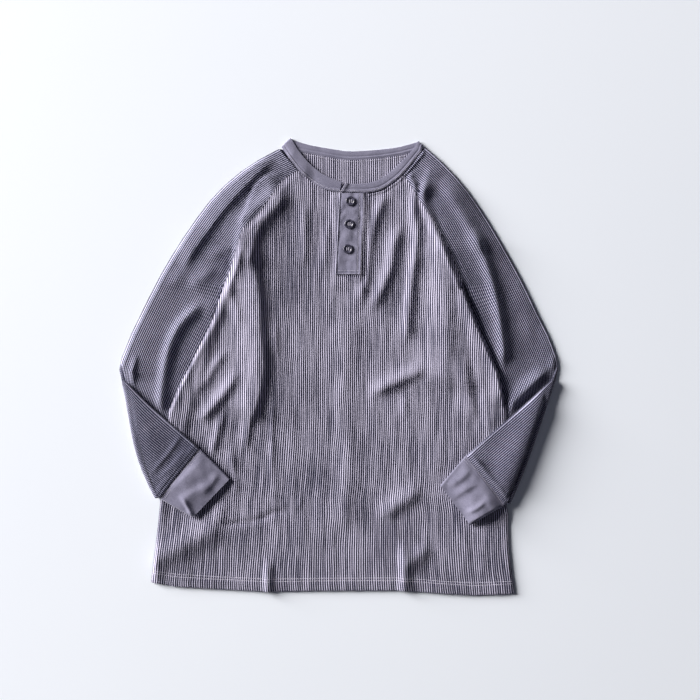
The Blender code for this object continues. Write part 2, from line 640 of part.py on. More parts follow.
def make_sleeve(name, sleeve, arm_folds, forearm_folds, finish):
    elbow = Elbow(sleeve)
    rows = sleeve_rows(sleeve, elbow)
    outer, inner = [], []
    for front, edge, back, closed in rows:
        out, inn = tube_section(front, edge, back, closed, CLOTH, SLEEVE_STACK)
        outer.append(out)
        inner.append(inn)
    outer, inner = np.array(outer), np.array(inner)
    seam = [Point(row.front_x, row.front_y) for row in sleeve.raglan]
    flank = sleeve.flank
    edges = [seam, flank, sleeve.outer]

    def placed(points):
        s, q, w = points[..., 0], points[..., 1], points[..., 2]
        flat = elbow.place(np.minimum(s, 0.0), q, w)
        x, y = flat[..., 0], flat[..., 1]
        hidden = np.maximum(covered(sleeve, x, y), smooth((inside_body(x, y) + 4.0) / 4.0) * (y < 120.0))
        rise = np.maximum(fold_height(arm_folds, x, y), 0.0) * edge_fade(x, y, edges, 16.0) * (1.0 - hidden)
        upper = w > 0.5 * SLEEVE_STACK
        w = w + np.where(upper & (s < -1.0), rise, 0.0)
        bent = elbow.place(s, q, w)
        fore = np.maximum(fold_height(forearm_folds, bent[..., 0], bent[..., 1]), 0.0)
        fore = fore * smooth((s - math.pi * FOLD_RADIUS) / 18.0) * smooth(end_distance(elbow, sleeve, s, q) / 10.0)
        edge_run = smooth(outer_distance(points) / 12.0)
        w = w - np.where(~upper, fore * edge_run, 0.0)
        return elbow.place(s, q, w)

    def outer_distance(points):
        edge_point = points[:, top_turn : top_turn + 1, :2]
        under = points[:, -1:, :2]
        from_outer = np.linalg.norm(points[..., :2] - edge_point, axis=-1)
        from_under = np.linalg.norm(points[..., :2] - under, axis=-1)
        return np.minimum(from_outer, from_under)

    top_turn = outer.shape[1] // 2 + 2
    add_panel(name, placed(outer), placed(inner), finish)


def end_distance(elbow, sleeve, s, q):
    """How far a place on the forearm lies from the cuff seam."""
    top, foot = np.array(elbow.forearm(*sleeve.seam_top)), np.array(elbow.forearm(*sleeve.seam_foot))
    run = (foot - top) / math.dist(foot, top)
    return np.abs((s - top[0]) * run[1] - (q - top[1]) * run[0])


def make_cuff(name, sleeve, finish):
    elbow = Elbow(sleeve)
    top, foot = np.array(elbow.forearm(*sleeve.seam_top)), np.array(elbow.forearm(*sleeve.seam_foot))
    end_top, end_foot = np.array(elbow.forearm(*sleeve.end_top)), np.array(elbow.forearm(*sleeve.end_foot))
    onward = (end_top - top + end_foot - foot) * 0.5
    start = SEAM_GAP / np.linalg.norm(onward)
    outer, inner = [], []
    for share in (1.25 * start, 0.1, 0.5, 0.9, 1.0):
        edge = top + share * (end_top - top)
        under = foot + share * (end_foot - foot)
        out, inn = tube_section(under, edge, under, 1, CUFF_THICK, CUFF_STACK, 5, 5)
        outer.append(out)
        inner.append(inn)

    def placed(points):
        points = np.array(points)
        lowered = points[..., 2] - 0.5 * (CUFF_STACK - SLEEVE_STACK)
        return elbow.place(points[..., 0], points[..., 1], lowered)

    add_panel(name, placed(outer), placed(inner), finish)


# ---- neckband ----
def band_rows():
    """Each row of the band: free edge, seam edge and the outward direction of its face."""
    rows = []
    up = np.array([0.0, 0.0, 1.0])
    turn_radius = 0.5 * (BAND_HIGH - BAND_LOW)
    middle = 0.5 * (BAND_HIGH + BAND_LOW)

    def flat(band, z, face):
        rows.append((np.array([band.free_x, band.free_y, z]), np.array([band.seam_x, band.seam_y, z]), face))

    def tip(band, side, from_front):
        free = np.array([band.free_x, band.free_y, middle])
        seam = np.array([band.seam_x, band.seam_y, middle])
        run = (free - seam) / np.linalg.norm(free - seam)
        outward = np.cross(run, up)
        outward = outward if outward[0] * side > 0 else -outward
        inset = (turn_radius + 0.5 * BAND_THICK) * outward
        angles = (90, 50, 0, -50, -90) if from_front else (-90, -50, 0, 50, 90)
        for angle in np.radians(angles):
            face = math.cos(angle) * outward + math.sin(angle) * up
            offset = turn_radius * face - inset
            rows.append((free + offset, seam + offset, face))

    for band in BAND_FRONT_LEFT:
        flat(band, BAND_HIGH + band.rise, up)
    tip(TIP_LEFT, -1, True)
    for band in BAND_BACK:
        flat(band, BAND_LOW, -up)
    tip(TIP_RIGHT, 1, False)
    for band in BAND_FRONT_RIGHT:
        flat(band, BAND_HIGH + band.rise, up)
    return rows


def make_neckband(finish):
    outer, inner = [], []
    for free, seam, face in band_rows():
        across = [seam, seam + 0.15 * (free - seam), seam + 0.85 * (free - seam), free]
        pinch = (0.32, 0.5, 0.5, 0.32)
        outer.append([p + face * BAND_THICK * half for p, half in zip(across, pinch)])
        inner.append([p - face * BAND_THICK * half for p, half in zip(across, pinch)])
    add_panel("neckband", np.array(outer), np.array(inner), finish)


# ---- placket ----
def make_plackets(finish):
    def strip(name, left, right, top_y, foot_y, base):
        y = np.linspace(foot_y, top_y, 9)[:, None]
        share = np.linspace(0.0, 1.0, 5)
        height = (y - foot_y) / (top_y - foot_y)
        low_x = left[1] + (left[0] - left[1]) * height
        high_x = right[1] + (right[0] - right[1]) * height
        x = low_x + share * (high_x - low_x)
        y = y + 0.0 * x
        z = base(x, y)
        add_panel(name, grid(x, y, z + CLOTH), grid(x, y, z), finish)

    def on_front(x, y):
        return front_underside(x, y) + CLOTH + RIB_HEIGHT + SEAM_GAP

    def under_front(x, y):
        return FRONT_BASE + 0.0 * x

    strip("placket_top", PLACKET_LEFT, PLACKET_RIGHT, PLACKET_TOP_Y, PLACKET_FOOT_Y, on_front)
    edges = ((UNDER_LEFT, UNDER_LEFT), (UNDER_RIGHT, UNDER_RIGHT))
    strip("placket_under", *edges, PLACKET_TOP_Y, UNDER_FOOT_Y, under_front)


# ---- buttons ----
def make_button(name, place, finish, cutters):
    """A turned button with a raised rim and a dished middle, and four thread holes cut through."""
    x = np.array([place.x])
    y = np.array([place.y])
    seat = float(front_underside(x, y)[0]) + 2 * CLOTH + RIB_HEIGHT + 2 * SEAM_GAP
    radius, thick = BUTTON_RADIUS * MM, BUTTON_THICK * MM
    profile = [
        (0.0, 0.55 * thick), (0.45 * radius, 0.55 * thick), (0.62 * radius, 0.95 * thick), (0.85 * radius, thick),
        (radius, 0.62 * thick), (0.8 * radius, 0.0), (0.0, 0.0),
    ]
    mesh = bpy.data.meshes.new(name)
    mesh.from_pydata([(r, 0.0, z) for r, z in profile], [(i, i + 1) for i in range(len(profile) - 1)], [])
    button = bpy.data.objects.new(name, mesh)
    bpy.data.collections["thermal_top"].objects.link(button)
    button.location = (place.x * MM, place.y * MM, seat * MM)
    mesh.materials.append(finish)
    screw = button.modifiers.new("turn", "SCREW")
    screw.steps = screw.render_steps = 18
    screw.use_merge_vertices = True
    screw.merge_threshold = 1e-6
    screw.use_normal_calculate = True
    for count, (side_x, side_y) in enumerate(((-1, -1), (-1, 1), (1, -1), (1, 1)), 1):
        hole = bmesh.new()
        bmesh.ops.create_cone(
            hole, cap_ends=True, segments=6, radius1=BUTTON_HOLE_RADIUS * MM, radius2=BUTTON_HOLE_RADIUS * MM,
            depth=4 * thick,
        )
        cutter_mesh = bpy.data.meshes.new(f"{name}_hole_{count}")
        hole.to_mesh(cutter_mesh)
        hole.free()
        cutter = bpy.data.objects.new(cutter_mesh.name, cutter_mesh)
        cutters.objects.link(cutter)
        cutter.parent = button
        cutter.location = (side_x * BUTTON_HOLE_REACH * MM, side_y * BUTTON_HOLE_REACH * MM, 0.0)
        cutter.hide_render = True
        cutter.display_type = "WIRE"
        cut = button.modifiers.new(f"hole_{count}", "BOOLEAN")
        cut.object = cutter
        cut.operation = "DIFFERENCE"


def main():
    for old in list(bpy.data.objects):
        bpy.data.objects.remove(old)
    parts = bpy.data.collections.new("thermal_top")
    cutters = bpy.data.collections.new("cutters")
    for collection in (parts, cutters):
        bpy.context.scene.collection.children.link(collection)
    make_body(material("thermal_knit", BODY_COLOUR, 0.92))
    make_sleeve(
        "sleeve_right", SLEEVE_RIGHT, RIGHT_SLEEVE_FOLDS, RIGHT_FOREARM_FOLDS,
        material("sleeve_knit_right", BODY_COLOUR, 0.92),
    )
    make_sleeve(
        "sleeve_left", SLEEVE_LEFT, LEFT_SLEEVE_FOLDS, LEFT_FOREARM_FOLDS,
        material("sleeve_knit_left", BODY_COLOUR, 0.92),
    )
    make_cuff("cuff_right", SLEEVE_RIGHT, material("cuff_jersey_right", JERSEY_COLOUR, 0.9))
    make_cuff("cuff_left", SLEEVE_LEFT, material("cuff_jersey_left", JERSEY_COLOUR, 0.9))
    make_neckband(material("band_jersey", JERSEY_COLOUR, 0.9))
    make_plackets(material("placket_jersey", JERSEY_COLOUR, 0.9))
    button_finish = material("button_plastic", BUTTON_COLOUR, 0.35)
    for count, place in enumerate(BUTTONS, 1):
        make_button(f"button_{count}", place, button_finish, cutters)


main()
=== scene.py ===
"""A long-sleeved raglan henley in ribbed thermal knit, laid flat on its back on a pale floor.

The tables and sizes are in millimetres and take the same places as the solids; mesh_object() turns
them into metres. Each piece of cloth is a thin wall with a fine outer face and a plain inner face.
"""

import math
from collections import namedtuple

import bmesh
import bpy
import numpy as np
from mathutils import Matrix, Vector


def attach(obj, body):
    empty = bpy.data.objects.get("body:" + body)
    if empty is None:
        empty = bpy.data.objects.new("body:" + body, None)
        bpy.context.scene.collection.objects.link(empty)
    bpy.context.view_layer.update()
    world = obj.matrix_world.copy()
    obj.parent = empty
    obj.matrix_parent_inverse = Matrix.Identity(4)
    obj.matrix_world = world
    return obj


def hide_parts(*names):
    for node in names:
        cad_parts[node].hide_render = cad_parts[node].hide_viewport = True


MM = 0.001
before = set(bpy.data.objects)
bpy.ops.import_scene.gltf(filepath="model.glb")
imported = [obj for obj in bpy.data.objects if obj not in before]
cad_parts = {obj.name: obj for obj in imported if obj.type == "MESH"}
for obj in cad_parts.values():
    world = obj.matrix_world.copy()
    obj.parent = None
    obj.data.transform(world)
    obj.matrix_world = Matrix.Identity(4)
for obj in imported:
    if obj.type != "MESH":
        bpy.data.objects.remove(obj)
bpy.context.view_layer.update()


def table(kind, *rows):
    """The rows of a table, with its columns' names."""
    return [kind(*row) for row in rows]


# ---- cloth ----
CLOTH = 1.6  # wall of the thermal knit
SEAM_GAP = 0.3  # between two pieces of cloth
RIB_PITCH = 3.27  # ribs of the body
RIB_SHAPE = np.array([0.0, 1.0, 1.0])  # one rib, in three columns
RIB_LOW, RIB_HIGH = -0.35, 0.65  # valley and crest over the knit's ground
RIB_FULL, RIB_WANDER = 0.885, 0.085  # relief of a crest, and how much it varies along the rib
BACK_RIBS, OPEN_RIBS = 0.25, 0.6  # ribs of the back: pressed under the front, and more in the open neck
WAFFLE = 2.95  # ribs and bars of the sleeves
WAFFLE_RISE = 0.8
PANEL_STEP = 7.0  # the most between two columns of a panel's inner face

# ---- the stack, from the floor up ----
BACK_BASE = 0.0
FRONT_BASE = BACK_BASE + CLOTH + SEAM_GAP
SLEEVE_STACK = 2 * CLOTH + SEAM_GAP
TUCK_RISE = SLEEVE_STACK + 0.4  # over a sleeve that runs under the body's side
FRONT_TUCK_RISE = TUCK_RISE + 0.2
TUCK_RAMP, TUCK_INSET = 17.0, 1.5  # width of the slope beside a tucked sleeve, and where it starts
TUCK_TOP_Y, TUCK_FOOT_Y, TUCK_END_Y = 122.0, -215.0, -250.0
FLANK_GAP = 0.6  # between the sleeve's underarm and the body's flank
PLACKET_RISE = CLOTH + SEAM_GAP

# ---- body outline ----
CHEST_Y = -67.0
NECK_REACH = 60.0  # corners this near the middle belong to the neckline
NOTCH_Y = 147.0
NOTCH_LEFT, NOTCH_RIGHT = 5.0, 31.0
HEM_DEPTH = 21.0
HEM_ROWS = (HEM_DEPTH - 1.5, HEM_DEPTH - 5.5)
HEM_STEP = 0.5  # by which the turned-up cloth stands over the single one
ROW_DEPTH, ROW_WIDTH = 0.55, 0.9  # how far a row of stitches sinks in, and how wide its furrow is

Point = namedtuple("Point", "x y")
HEM = table(
    Point,
    (-291, -334), (-255, -340.4), (-187, -344.6), (-107, -348.4), (-27, -347), (92, -346.4), (161, -351.4),
    (210, -354.3), (274, -351.5),
)
SIDE_LEFT = table(Point, (-291, -335), (-285.4, -291), (-276.4, -214), (-270, -140), (-262.4, CHEST_Y))
SIDE_RIGHT = table(
    Point,
    (274, -352), (268.6, -311), (265.5, -281), (263.7, -228), (259.5, -206), (262, -180), (262.5, -120),
    (260.9, CHEST_Y),
)
FLANK_LEFT = table(
    Point,
    (-262.4, CHEST_Y), (-245.8, -27.4), (-221, 22), (-204, 56), (-193.9, 76.4), (-186, 103), (-179, 126),
)
FLANK_RIGHT = table(
    Point,
    (260.9, CHEST_Y), (248.5, -7.6), (228.8, 36.9), (213, 74), (206.5, 91), (199, 111), (194, 126),
)
Raglan = namedtuple("Raglan", "front_x front_y back_x back_y")
RAGLAN_LEFT = table(
    Raglan,
    (-63, 305.4, -72, 335.5), (-76, 297.5, -88, 310), (-88.5, 288, -101, 288), (-105, 264, -116, 262),
    (-121, 240.3, -130, 237), (-147, 214.8, -150, 211), (-157, 185, -160, 182), (-171.6, 140.6, -173, 139),
    (-179, 126, -179, 126),
)
RAGLAN_RIGHT = table(
    Raglan,
    (100.4, 299, 122, 333.5), (108, 287.5, 125, 310), (115.3, 275.6, 129, 284), (124, 260, 135, 262),
    (133.5, 246, 143, 243), (148, 226, 153, 221), (169.4, 185, 172, 181), (187, 144, 188.5, 140),
    (194, 126, 194, 126),
)

# ---- neckband ----
Band = namedtuple("Band", "free_x free_y seam_x seam_y rise")
BAND_THICK = 2.2
BAND_LOW = BACK_BASE + 0.5 * BAND_THICK
BAND_HIGH = BAND_LOW + BAND_THICK + 0.4
BAND_LIFT = 1.8  # how much higher the front of the band stands where it crosses the open neck
RIDGE_AWAY, RIDGE_WIDTH = 3.6, 1.7  # place and width of the seam allowance's ridge, off the band's seam
RIDGE_RIGHT, RIDGE_MORE = 0.5, 1.5  # its height on the wearer's right, and how much higher it is on the left
SHOULDER_LEAN = 5.0  # how much its seam edge is lifted by the folds at the right shoulder
BAND_ROW = 0.14  # share of the band's width between its seam and the stitches on it
BACK_ROW = 2.6  # stitches under the band's seam on the back
BAND_SHARES = [0.0, 0.02, *np.linspace(0.05, 0.47, 15), 0.53, 0.6, 0.68, 0.76, 0.84, 0.9, 0.95, 0.98, 1.0]
BAND_FRONT_LEFT = table(
    Band,
    (5.2, 286.6, 1.5, 271.7, 0.7), (-11, 292.8, -14.9, 273.9, 1.0), (-26.8, 300.7, -30, 280.2, 0.7),
    (-40, 311.5, -46, 290.6, 0.3), (-51, 322.5, -59, 302, 0.1), (-61.5, 336, -72, 318, 0.0),
    (-68, 346, -81, 330.3, 0.0),
)
TIP_LEFT = Band(-74.4, 355.9, -89, 341.5, 0.0)
BAND_BACK = table(
    Band,
    (-63, 350, -72, 336.8, 0.0), (-42, 344.2, -45, 331.4, 0.0), (-3, 337.5, -3, 323.6, 0.0),
    (22, 335, 20, 321.2, 0.0), (64.6, 337.7, 60, 324, 0.0), (94, 341.6, 95, 328.8, 0.0),
    (114, 346.8, 119, 335, 0.0),
)
TIP_RIGHT = Band(125.1, 351.1, 132, 342, 0.0)
BAND_FRONT_RIGHT = table(
    Band,
    (119, 342, 128.5, 333.2, 0.0), (107.5, 328.5, 119.6, 322.5, 0.0), (93, 314, 105.5, 305.5, 0.1),
    (79, 301.5, 91, 291.3, 0.3), (64, 291, 69, 276.2, 0.7), (46, 285.2, 48, 270.9, 1.0),
    (28.7, 283.8, 25, 270.9, 1.2), (19, 284.2, 12.2, 271.1, 1.1), (14.6, 284.5, 7.0, 271.3, 2.6),
    (10.6, 284.9, 2.6, 271.5, 2.7),
)

# ---- sleeves ----
OUTER_LEFT = table(
    Point,
    (-92.5, 338.6), (-107.4, 328.6), (-132.2, 318.8), (-155.9, 299.8), (-184.3, 276), (-203.5, 253.6),
    (-227, 221.7), (-250.8, 186), (-274.8, 145.7), (-298, 100.8), (-321.9, 51), (-337.3, 12.9),
    (-341.6, -2.0), (-341.3, -13.0), (-337.5, -24.0),
)
OUTER_RIGHT = table(
    Point,
    (135.6, 341), (147, 333.5), (166.8, 311.7), (190.5, 288), (209.6, 262), (228.5, 233.4), (249.9, 197.8),
    (268.8, 164.6), (290.2, 124.3), (309, 84), (328, 46), (341.0, 9.6), (342.3, -4.0), (341.3, -13.0),
    (338.3, -21.0),
)
ARMPIT_REACH = 0.60  # share of the outer edge that faces the raglan seam
Sleeve = namedtuple(
    "Sleeve", "side raglan outer flank elbow fold_foot bulge seam_top seam_foot end_top end_foot"
)
SLEEVE_RIGHT = Sleeve(
    -1, RAGLAN_LEFT, OUTER_LEFT, FLANK_LEFT, (-335, -26), (-284, -204), 9.0,
    (-214.7, -125.4), (-276, -203.5), (-168, -173), (-225, -233),
)
SLEEVE_LEFT = Sleeve(
    1, RAGLAN_RIGHT, OUTER_RIGHT, FLANK_RIGHT, (336.5, -22), (266.5, -213), 3.0,
    (197.2, -136.7), (258.5, -213), (157.6, -183.5), (204.4, -244.7),
)
TUCK_START_Y = 84.0  # below it the sleeve's inner edge runs under the body
FOLD_RADIUS = 0.5 * (SLEEVE_STACK + 9.0)
HALF_BEND = 0.5 * math.pi * FOLD_RADIUS  # run from the start of the bend to its outermost place
BEND = 2.0 * HALF_BEND
FOLD_SKEW = 1.35  # moves the middle of the fold line's bulge towards its foot
FOLD_SPREAD = 45.0  # how far in from the fold line the bulge dies away
FOREARM_DROP = 1.7  # how far the forearm settles once it lies on the front
BEND_RIBS = 11.0  # columns by which the ribs shift as they cross the bend
TURN_ANGLES = (60.0, 30.0, 0.0, -30.0, -60.0)  # of the columns round a flattened tube's outer edge
SLANT_ROWS = 25  # rows over which the slant of the ribs is evened out
DROP_START, DROP_WIDTH = 46.0, 40.0  # where it settles, in from the body's side
PRESSED = 0.85  # share of the front's folds that a forearm on it presses flat
COVER_REACH = 24.0  # how far past a forearm's edge the cloth under it is still pressed
CUFF_THICK = 2.0
CUFF_STACK = 2 * CUFF_THICK + 0.4
CUFF_LINES = 46  # rows of points from a cuff's seam to its end
CUFF_ROWS = (2.0, 6.0)
SEAM_ROLLS = (2.2, 6.4)  # the rolled seam on the sleeve's side of the cuff
MERGE = 0.002  # points of a tube that lie closer than this are made one
BAR_LOW, BAR_MORE = 0.84, 0.16  # relief of the waffle between its bars, and how much more it is on them
EDGE_RELIEF, FLAT_RELIEF = 0.61, 0.60  # round a tube's outer edge, and the dim flat relief to which the forearm's ribs are evened out
CREST_PAINTED_SHADE = 0.09  # painted shade: what a crest's relief and colour lose where the dimming says 1
# Painted shade: how much darker the crests are on the forearm and the upper arm, and how far the forearm's
# ribs are evened out to the dim flat relief.
SleeveShadeAndFlat = namedtuple("SleeveShadeAndFlat", "forearm arm flat")
RIGHT_SHADE_AND_FLAT, LEFT_SHADE_AND_FLAT = SleeveShadeAndFlat(1.7, 0.0, 0.32), SleeveShadeAndFlat(0.8, 0.7, 0.0)

# ---- placket and buttons ----
PLACKET_TOP_Y, PLACKET_FOOT_Y = 269.6, 143.0
PLACKET_LEFT, PLACKET_RIGHT = (1.6, -5.2), (39.6, 34.9)  # x at the top and at the foot
UNDER_LEFT, UNDER_RIGHT, UNDER_FOOT_Y = 1.0, 34.0, 140.0
SLOPE_REACH, SLOPE_WIDTH = 16.0, 12.0  # of the front's rise beside the plackets
FOOT_REACH, FOOT_WIDTH = 22.0, 14.0  # of its rise under their foot
PLACKET_STEP = 2.1  # by which the front stands up along the upper placket's right edge
STEP_LEVEL, STEP_SLOPE = 3.0, 24.0  # width of that step's top, and of the slope beyond it
PLACKET_HOLD = 0.8  # share of the folds that the plackets hold down
PLACKET_SEAT = 0.6  # ribs under the upper placket
BUTTONS = table(Point, (18.8, 256.8), (16.9, 221.2), (14.9, 182.7))
BUTTON_RADIUS = 7.5
BUTTON_THICK = 2.6
BUTTON_DISH = 0.52  # height of the dished middle, as a share of the thickness
BUTTON_PROFILE = [  # from the dish over the rim to the underside, as shares of radius and thickness
    (0.30, 0.52), (0.50, 0.56), (0.60, 0.70), (0.68, 0.92), (0.78, 1.0), (0.88, 0.98), (0.96, 0.84),
    (1.0, 0.62), (0.97, 0.42), (0.86, 0.12), (0.78, 0.0),
]
BUTTON_HOLE_RADIUS = 0.9
BUTTON_HOLE_REACH = 1.5

# ---- folds: how far the cloth rises or sinks, how far it spreads to the left and right of the crest
# line as one walks along it, the line itself, walked up the page, and how far the crest runs level
# to its right ----
Fold = namedtuple("Fold", "rise left right line level", defaults=(0.0,))
FOLD_END, MOST_END = 30.0, 0.35  # length over which a fold dies away at either end, and its most as a share
FOLD_REACH = 3.2  # spreads from the crest line, past which nothing is left of a fold
FRONT_LOFT = 1.4  # how far the front stands off the back where no fold lifts it
LOFT_RUN = 22.0  # length from the hem over which it comes to stand off so far
NECK_FADE, SIDE_FADE, RAGLAN_FADE = 10.0, 5.5, 11.0  # from the edges, over which the folds come up
FRONT_FOLDS = [
    Fold(10.0, 38, 9.5, [
        (-139, -92), (-131, -66), (-123, -36), (-118, 0), (-120, 30), (-123, 60), (-124, 100), (-128, 134),
        (-134, 164), (-132, 192),
    ]),
    Fold(3.6, 8, 5, [(-145, -138), (-142, -112), (-137, -84), (-130, -58)]),
    Fold(3.0, 24, 62, [(-128, -90), (-118, 40), (-125, 120), (-128, 180), (-104, 252)]),
    Fold(5.2, 42, 19, [(214, -44), (205, -4), (196, 44), (186, 100), (170, 158), (152, 206)]),
    Fold(4.0, 8, 8, [(-151, 56), (-157, 86), (-165, 114), (-174, 140)]),
    Fold(2.3, 7, 6, [(-95, 12), (-97, 45), (-99, 76)]),
    Fold(2.9, 8, 7.2, [(-58, 148), (-52, 185), (-53, 225), (-51, 262)]),
    Fold(2.3, 8, 8.4, [(-28, 138), (-20, 180), (-16, 232)]),
    Fold(6.4, 9, 8, [(36, 92), (38, 134), (43, 170), (50, 205), (60, 238), (76, 274)]),
    Fold(6.5, 10, 8.4, [(50, 84), (60, 106), (71, 130), (81, 156), (85, 182), (90, 204), (96, 226)]),
    Fold(6.5, 8, 8, [(106, 34), (107, 66), (110, 100), (114, 140), (120, 176), (122, 206), (119, 244)]),
    Fold(8.0, 25, 30, [(156, -40), (161, 10), (162, 60), (165, 110), (167, 150), (162, 195), (151, 232)]),
    Fold(4.5, 12, 9.6, [(213, -90), (200, -35), (190, 22)]),
    Fold(7.5, 13, 8, [(44, -44), (66, -34), (92, -22), (118, -10), (142, 0)]),
    Fold(2.1, 6, 6, [(103, -84), (101, -40)]),
    Fold(6.6, 14, 11, [(54, -232), (78, -222), (105, -205), (134, -184)]),
    Fold(6.2, 8, 10, [(102, -390), (103, -325), (102, -296), (100, -264)]),
    Fold(6.0, 11, 13, [(100, -322), (112, -302), (128, -288), (148, -280)]),
    Fold(4.9, 6, 6, [(-109, -390), (-109, -325), (-108, -290)]),
    Fold(9.0, 21, 19, [(-310, -310), (-280, -295), (-248, -279), (-212, -262), (-172, -245)]),
    Fold(2.4, 6, 9, [(-280, -372), (-281, -330), (-276, -300)]),
    Fold(7.0, 9, 8, [(-224, -88), (-204, -72), (-186, -52), (-168, -28), (-156, 0)]),
    Fold(4.0, 8, 7, [(-222, -44), (-205, -22), (-190, 4), (-168, 32)]),
    Fold(3.6, 7, 5, [(-157, -206), (-163, -160), (-169, -116)]),
    Fold(2.0, 4, 4.8, [(-103, -176), (-103, -110), (-102, -48)]),
    Fold(4.2, 7, 6, [(-198, -146), (-191, -118), (-184, -90), (-178, -64)]),
    Fold(2.6, 12, 12, [(-186, -248), (-184, -204)]),
    Fold(2.9, 16, 19.2, [(0, -260), (14, -150), (8, -20), (20, 90)]),
    Fold(2.2, 6, 7, [(-258, -74), (-244, -30), (-228, 2), (-210, 32), (-193, 62), (-180, 90), (-163, 132)]),
    Fold(8.0, 14, 6, [(257, -66), (244, -6), (224, 38), (208.5, 74), (200, 98), (190, 128)]),
]
# Finer creases: the packing crease, and the crease beside the right cuff.
FRONT_CREASES = [
    Fold(0.7, 2.5, 2.5, [(-176, 121), (-60, 124), (60, 123), (192, 126)]),
    Fold(-3.4, 2.6, 3.2, [(-187, -243), (-150, -241), (-120, -235), (-100, -226), (-62, -221)]),
    Fold(1.3, 6, 4, [(-80, -223), (-60, -214), (-60, -192)]),
]
# Folds that run over the raglan seams, on the body and the sleeves alike.
SEAM_FOLDS = [
    Fold(9.3, 13.5, 10, [
        (-158, 150), (-151, 180), (-145, 206), (-137, 223), (-126, 240), (-111, 257), (-97, 273),
        (-84, 287),
    ], 15.0),
    Fold(4.4, 5.5, 15, [
        (-162, 172), (-152, 206), (-143, 236), (-134, 260), (-124, 281), (-109, 293), (-84, 299),
    ]),
    Fold(5.2, 6, 8, [(-182, 92), (-172, 118), (-163, 144), (-155, 172), (-148, 200)]),
    Fold(6.0, 6.5, 5, [(118, 214), (117, 238), (118, 262), (118, 280), (112, 293), (119, 308)]),
    Fold(9.8, 7, 9.5, [
        (198, 108), (184, 146), (168, 182), (152, 212), (139, 238), (131, 257), (133, 275), (140, 295),
    ]),
    Fold(3.6, 7, 22, [(131, 262), (135, 280), (141, 298), (148, 318)]),
]
RIGHT_SLEEVE_FOLDS = [
    Fold(5.5, 9, 46, [(-330, -34), (-333, 0), (-317, 40), (-293, 92), (-267, 142), (-239, 188), (-210, 228)]),
    Fold(3.6, 34, 18, [(-224, 104), (-196, 160), (-172, 204), (-142, 258)]),
    Fold(7.0, 24, 7.5, [
        (-243, 152), (-222, 184), (-200, 216), (-182, 240), (-163, 262), (-136, 291), (-118, 308),
        (-98, 324),
    ]),
    Fold(2.2, 8, 8, [(-206, 169), (-184, 178), (-160, 187)]),
    Fold(2.4, 9, 9.2, [(-234, 118), (-208, 140), (-184, 154)]),
    Fold(1.9, 9, 9.2, [(-264, 116), (-240, 150), (-222, 174)]),
    Fold(8.0, 8, 9.5, [
        (-281, -90), (-275, -50), (-270, -10), (-262, 28), (-248, 60), (-229, 82), (-207, 100),
    ]),
    Fold(4.0, 5, 4, [(-313, -52), (-318, -26), (-317, 0), (-309, 26)]),
]
LEFT_SLEEVE_FOLDS = [
    Fold(5.0, 12, 48, [(246, -30), (217, 90), (185, 180), (147, 276)]),
    Fold(9.6, 8, 9, [
        (256, -6), (254, 30), (251, 56), (247, 86), (240, 120), (229, 158), (216, 190), (203, 216),
    ]),
    Fold(6.6, 9, 15, [(222, 168), (212, 196), (194, 234), (174, 268), (158, 296)]),
    Fold(9.4, 12, 9, [(214, -112), (250, -84), (277, -50), (300, -26), (330, 2)]),
    Fold(1.9, 10, 10.3, [(300, 30), (290, 80), (268, 134)]),
    Fold(2.4, 6, 6.9, [(328, -8), (337, 22)]),
]
RIGHT_FOREARM_FOLDS = [
    Fold(1.6, 4, 3.5, [(-294, -170), (-262, -133), (-236, -96)]),
    Fold(1.8, 14, 14, [(-276, -170), (-288, -120), (-318, -56)]),
    Fold(1.8, 4, 4, [(-282, -180), (-254, -150), (-228, -118)]),
]
LEFT_FOREARM_FOLDS = [
    Fold(8.5, 22, 19, [(248, -204), (261, -170), (277, -134), (290, -98), (304, -60), (317, -34)]),
    Fold(6.5, 8, 14, [(236, -194), (220, -168), (207, -148), (203, -130)]),
    Fold(1.5, 5, 5, [(270, -208), (262, -186)]),
]
RIGHT_CUFF_FOLDS = [
    Fold(4.0, 3.0, 4.0, [(-224, -240), (-228, -226), (-237, -208), (-248, -198)]),
    Fold(3.2, 8, 22, [(-262, -196), (-232, -168), (-200, -136)]),
    Fold(2.6, 7, 12, [(-250, -214), (-226, -196), (-192, -180)]),
    Fold(2.4, 8, 5, [(-212, -196), (-196, -180), (-184, -160)]),
]
LEFT_CUFF_FOLDS = [
    Fold(8.0, 40, 7, [(196, -240), (222, -228), (256, -212)]),
    Fold(2.6, 4.5, 3.5, [(194, -226), (212, -218), (230, -204)]),
    Fold(2.4, 8, 5, [(172, -206), (194, -190), (222, -176)]),
    Fold(2.8, 7, 6, [(166, -186), (190, -172), (208, -152)]),
]

# ---- soft unevenness: its layers, by height, size of the cells across and up, and seed ----
Layer = namedtuple("Layer", "height across up seed")
FRONT_SLACK = table(Layer, (0.6, 55, 70, 11), (0.55, 14, 75, 12), (0.36, 9, 26, 13))
RIB_SWAY = table(Layer, (1.1, 34, 46, 14), (0.45, 13, 21, 15))
PLACKET_SLACK = table(Layer, (0.85, 13, 17, 51), (0.4, 6, 8, 52))
FRONT_SEED, BACK_SEED = 21, 31

# ---- the crests of the ribs are lower and darker towards the hem, and lowered and darkened as painted shadow over a patch on the chest ----
HEM_DARKENING = 0.035
ShadowPatch = namedtuple("ShadowPatch", "depth x y across up")
SHADOW_PATCH = ShadowPatch(0.10, -82.0, 190.0, 42.0, 85.0)


# ---- helpers ----
def smooth(value):
    """0 below 0, 1 above 1, and an even S between."""
    value = np.clip(value, 0.0, 1.0)
    return value * value * (3.0 - 2.0 * value)


def bell(distance, width):
    """1 at no distance, dying away softly over about the width."""
    return np.exp(-((distance / width) ** 2))


